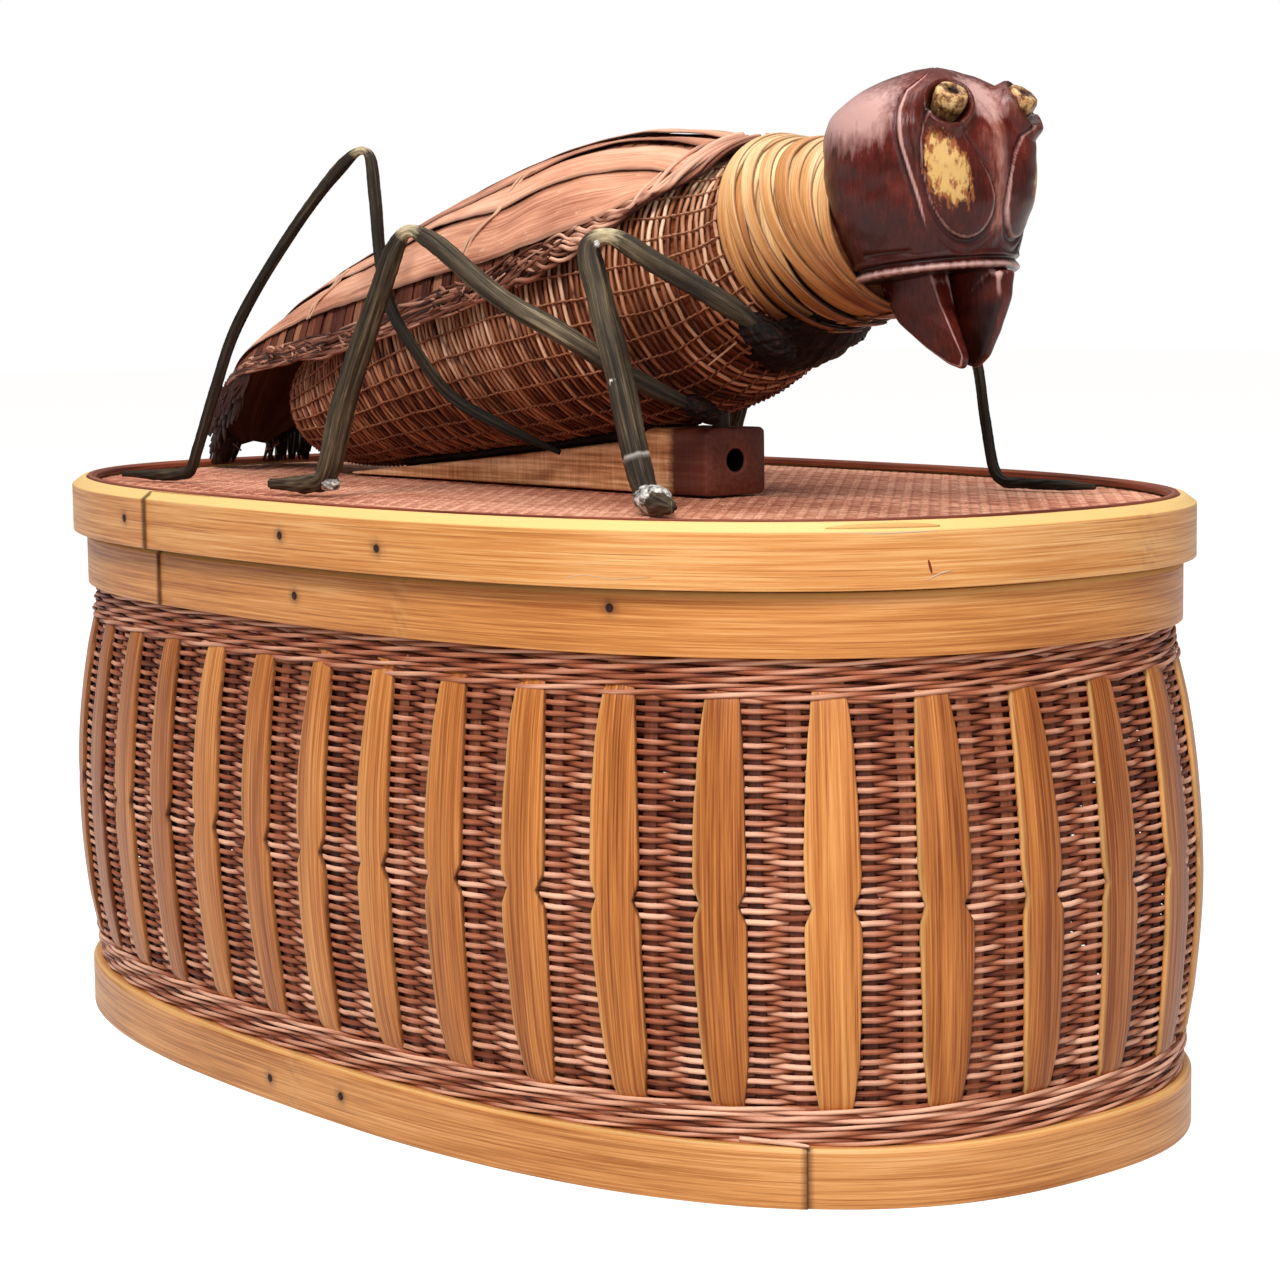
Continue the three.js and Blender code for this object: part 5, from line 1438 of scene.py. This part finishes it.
def build_leg(name, radius, points, seed):
    """A bent stem: a ridged section r * (1 + ridges) carried along the leg's route, slimmer
    and paler at the knee, flattened and frayed at the foot."""
    route, length = smooth_route(points, 260 if len(points) > 13 else 200)
    first, second = carried_frames(route)
    sides = 22
    angle = turns(sides)
    knee = length[np.argmax(route[:, 2])]
    low = length[np.flatnonzero(route[:, 2] > PANEL_TOP + FOOT_LOW)[-1]]
    share = length / length[-1]
    twist = (0.9 * np.sin(2.1 * share + seed) + 2.5 * smooth(length, low, length[-1]))[:, None]
    ridges = 0.12 * np.cos(6 * (angle + twist)) + 0.07 * np.cos(9 * angle - 2 * twist + seed)
    swell = 1 + 0.06 * wobble(share, seed, (2, 5, 9)) - 0.34 * bump(length, knee, 4.0)
    swell = swell + 0.08 * bump(length, knee + 9, 4)
    if radius > STOUT:
        swell = swell * (1 + 0.26 * smooth(length, knee, knee + 30) * (1 - smooth(length, low, low + 8)))
    swell = swell * (1 - 0.45 * smooth(share, 0.93, 1.0)) * (0.45 + 0.55 * smooth(length, 0, 16))
    grit = 0.05 * wobble(length[:, None] / 12 + angle / ONE_TURN * 2, seed + 1, (3, 7, 11))
    size = radius * swell[:, None] * (1 + ridges + grit)
    skin = route[:, None] + size[..., None] * (
        np.cos(angle)[:, None] * first[:, None] + np.sin(angle)[:, None] * second[:, None])
    # the foot lies on the panel
    flatten = smooth(length, low, low + 6)[:, None]
    skin[..., 2] = np.maximum(skin[..., 2], PANEL_TOP + 0.15) * flatten + skin[..., 2] * (1 - flatten)
    pale = 0.75 * bump(length, knee, 4.5) + 0.2 * bump(length, knee - 13, 7) + 0.2 * bump(length, low, 3)
    # darker in the furrows between the ridges, and painted shade over the first 26 mm, where the stem goes in
    # under the body
    dark = 0.75 * np.clip(-ridges / 0.17, 0, 1) + 0.6 * (1 - smooth(length, 4, 26))[:, None]
    tint = 0.08 * wobble(share, seed + 2, (2, 5)) + 0.02 - 0.1 * (radius < STOUT)
    # a ring of glue round the near front leg
    mark = 0.8 * (name == "right_front_leg") * bump(length, low - 3.5, 0.28)
    girth = np.arange(sides + 1) * 2 * np.pi * radius / sides
    skin = tubes(skin, False, length, girth, pale=np.clip(pale, 0, 1)[:, None], dark=np.clip(dark, 0, 1),
                 tint=tint[:, None], mark=mark[:, None])
    piece(name.replace("_leg", "_stem_leg"), [skin], stem, "lid", [name])


# Drops of dried glue: [name, middle, half sizes]
glue_drops = [["front_foot_glue", (83.2, -48.6, 137.6), (5.0, 3.0, 3.0)],
              ["middle_foot_glue", (-19.5, -60.5, 137.4), (3.0, 2.2, 1.8)],
              ["front_leg_drop", (71.4, -49.3, 161.9), (0.95, 0.6, 1.05)],
              ["front_knee_drop", (64.6, -47.6, 190.6), (0.8, 0.6, 0.8)]]


def build_glue():
    """Drops of dried glue where feet are stuck to the panel, and two on the front leg."""
    direction = ball(24, 36, 0.08)
    for number, (name, place, size) in enumerate(glue_drops):
        lumps = 0.2 * wobble(direction[..., 0] * 0.6 + direction[..., 2] * 0.4, 960 + number, (1, 2, 3, 5))
        lumps = lumps + 0.1 * wobble(direction[..., 1] * 0.7, 970 + number, (2, 3, 6))
        points = np.array(place) + direction * np.array(size) * (1 + lumps[..., None])
        if place[2] < 140:
            points[..., 2] = np.maximum(points[..., 2], PANEL_TOP + 0.05)
        piece(name, [tubes(points)], white_glue, "lid")


BLOCK_HALF = 9.0
BLOCK_LOW = PANEL_TOP + 0.3
HOLE_Z = 142.6
block_top = [[-87, 0.4], [-30, 5.9], [27, 11.9], [34, 15], [53.4, 15.2]]
# The block's front: [half size, whether it is round, x] from the plug to the hole's bottom
block_front = [[4.6, False, 54.02], [4.2, False, 54.03], [3.6, True, 54.04], [2.9, True, 54.0],
               [2.55, True, 53.8], [2.5, True, 50.0], [2.45, True, 42.2], [0.3, True, 42.0]]


def wedge_height(x):
    """The block's height over its underside."""
    return np.interp(x, *np.array(block_top).T)


def build_block():
    """A long wedge with rounded edges: level loops from its thin tail to its front end, then
    over a small square plug and into a drilled hole. The peg stands on it."""
    x = np.concatenate([[-87, -86.6], np.linspace(-85, 26, 40), np.linspace(27, 34, 8),
                        np.linspace(35, 53.2, 16), [53.7, 54.0]])
    sides = 64
    section = flat_section(sides, 14.0)
    inset = np.interp(x, [-87, -86, 53.2, 53.7, 54.0], [0.35, 0, 0, 0.12, 0.5])[:, None]
    rough = 0.08 * wobble(x[:, None] / 150 + turns(sides) / ONE_TURN, 980, (5, 11, 19))
    y = section[:, 0] * (BLOCK_HALF - inset + rough)
    half = np.maximum(wedge_height(x) / 2, 0.25)[:, None]
    z = BLOCK_LOW + half + section[:, 1] * (half - np.minimum(inset, half * 0.5))
    z = z + rough * (section[:, 1] > 0.5)
    loops = np.stack([np.broadcast_to(x[:, None], y.shape), y, z], -1)
    front = []
    for size, is_round, at in block_front:
        shape = size * (round_section(sides) if is_round else flat_section(sides, 8.0))
        front.append(np.stack([np.full(sides, at), shape[:, 0], HOLE_Z + shape[:, 1]], -1))
    points = np.concatenate([loops, front])
    mark = smooth(points[..., 0].mean(1), 38, 47)[:, None]
    # the loops in the hole are dark as painted shade, and its rim is a little pale
    dark, pale = np.zeros((len(points), 1)), np.zeros((len(points), 1))
    dark[len(x) + 4:] = 1.0
    pale[len(x) + 3] = 0.3
    piece("wedge_block", [tubes(points, mark=mark, dark=dark, pale=pale)], block_wood,
          "lid", ["mount_block"], 45)
    z = np.linspace(144, 161, 30)[:, None]
    wander = 0.18 * wobble(z / 20, 985, (1, 2, 3))
    ring = round_section(20)
    size = 2.0 * (1 + 0.05 * wobble(z / 17 + turns(20) / ONE_TURN, 986, (2, 4, 7)))
    x, y = 49 + wander + size * ring[:, 0], size * ring[:, 1]
    points = np.stack([x, y, np.broadcast_to(z, size.shape)], -1)
    piece("carrying_peg", [tubes(points)], pin_wood, "lid", ["mount_peg"])


build_body()
build_cover()
build_hems()
build_neck()
build_head()
build_knobs()
build_mandibles()
build_breast()
for number, (name, (radius, points)) in enumerate(legs.items()):
    build_leg(name, radius, points, 20 + number)
build_glue()
build_block()


# The studio: a pale floor, soft lamps and the camera at the photograph's angle

SKY = 0.34               # the world's plain light on the object
FLOOR_GLOW = 0.86


def build_studio():
    """Floor, lamps and camera. What the camera sees beside the object is white by Light Path,
    so that the light on the object stays plain."""
    material = bpy.data.materials.new("pale_floor")
    material.use_nodes = True
    world = bpy.data.worlds.new("studio")
    world.use_nodes = True
    bpy.context.scene.world = world
    shader = material.node_tree.nodes["Principled BSDF"]
    shader.inputs["Base Color"].default_value = linear("#A8A4A0")
    shader.inputs["Roughness"].default_value = 0.9
    shader.inputs["Specular IOR Level"].default_value = 0.0
    shader.inputs["Emission Color"].default_value = (1, 1, 1, 1)
    back = world.node_tree.nodes["Background"]
    back.inputs["Color"].default_value = (1, 1, 1, 1)
    for tree, socket, seen_more, otherwise in (
            (material.node_tree, shader.inputs["Emission Strength"], FLOOR_GLOW, 0.0),
            (world.node_tree, back.inputs["Strength"], 1 - SKY, SKY)):
        path = add_node(tree, "ShaderNodeLightPath", out="Is Camera Ray").node
        seen = path.outputs["Is Camera Ray"]
        others = ["Is Transmission Ray"] + ["Is Glossy Ray"] * (tree == material.node_tree)
        for kind in others:
            seen = add_node(tree, "ShaderNodeMath", {0: seen, 1: path.outputs[kind]}, operation="MAXIMUM")
        tree.links.new(add_node(tree, "ShaderNodeMath", {0: seen, 1: seen_more, 2: otherwise},
                                operation="MULTIPLY_ADD"), socket)
    side = 6.0               # metres from the middle to each edge of the floor
    floor = bpy.data.meshes.new("floor")
    corners = [(-side, -side, 0), (side, -side, 0), (side, side, 0), (-side, side, 0)]
    floor.from_pydata(corners, [], [(0, 1, 2, 3)])
    floor.materials.append(material)
    made = bpy.data.objects.new("floor", floor)
    bpy.context.scene.collection.objects.link(made)
    for name, place, target, size, power in (
            ("key", (0.7, -1.0, 1.3), (0, 0, 0.12), 0.5, 25.0),
            ("top", (-0.1, 0.1, 1.5), (0, 0, 0.12), 0.9, 10.0),
            ("fill", (1.4, -0.5, 0.6), (0, 0, 0.1), 0.8, 5.0)):
        lamp = bpy.data.lights.new(name, "AREA")
        lamp.size = size
        lamp.energy = power
        made = bpy.data.objects.new(name, lamp)
        made.location = place
        made.rotation_euler = (Vector(target) - Vector(place)).to_track_quat("-Z", "Y").to_euler()
        bpy.context.scene.collection.objects.link(made)
    view = bpy.data.cameras.new("photo_view")
    view.lens = 86.78
    view.sensor_width = 36
    view.clip_start = 0.01
    camera = bpy.data.objects.new("photo_view", view)
    back_axis = Vector((0.769, -0.6291, 0.113)).normalized()
    right_axis = Vector((0.6342, 0.773, -0.0123)).normalized()
    up_axis = back_axis.cross(right_axis).normalized()
    right_axis = up_axis.cross(back_axis)
    place = Vector((577.4, -456.64, 181.11)) * MM
    matrix = [[right_axis[k], up_axis[k], back_axis[k], place[k]] for k in range(3)] + [[0, 0, 0, 1]]
    camera.matrix_world = Matrix(matrix)
    bpy.context.scene.collection.objects.link(camera)
    bpy.context.scene.camera = camera
    bpy.context.scene.view_settings.view_transform = "Standard"


build_studio()
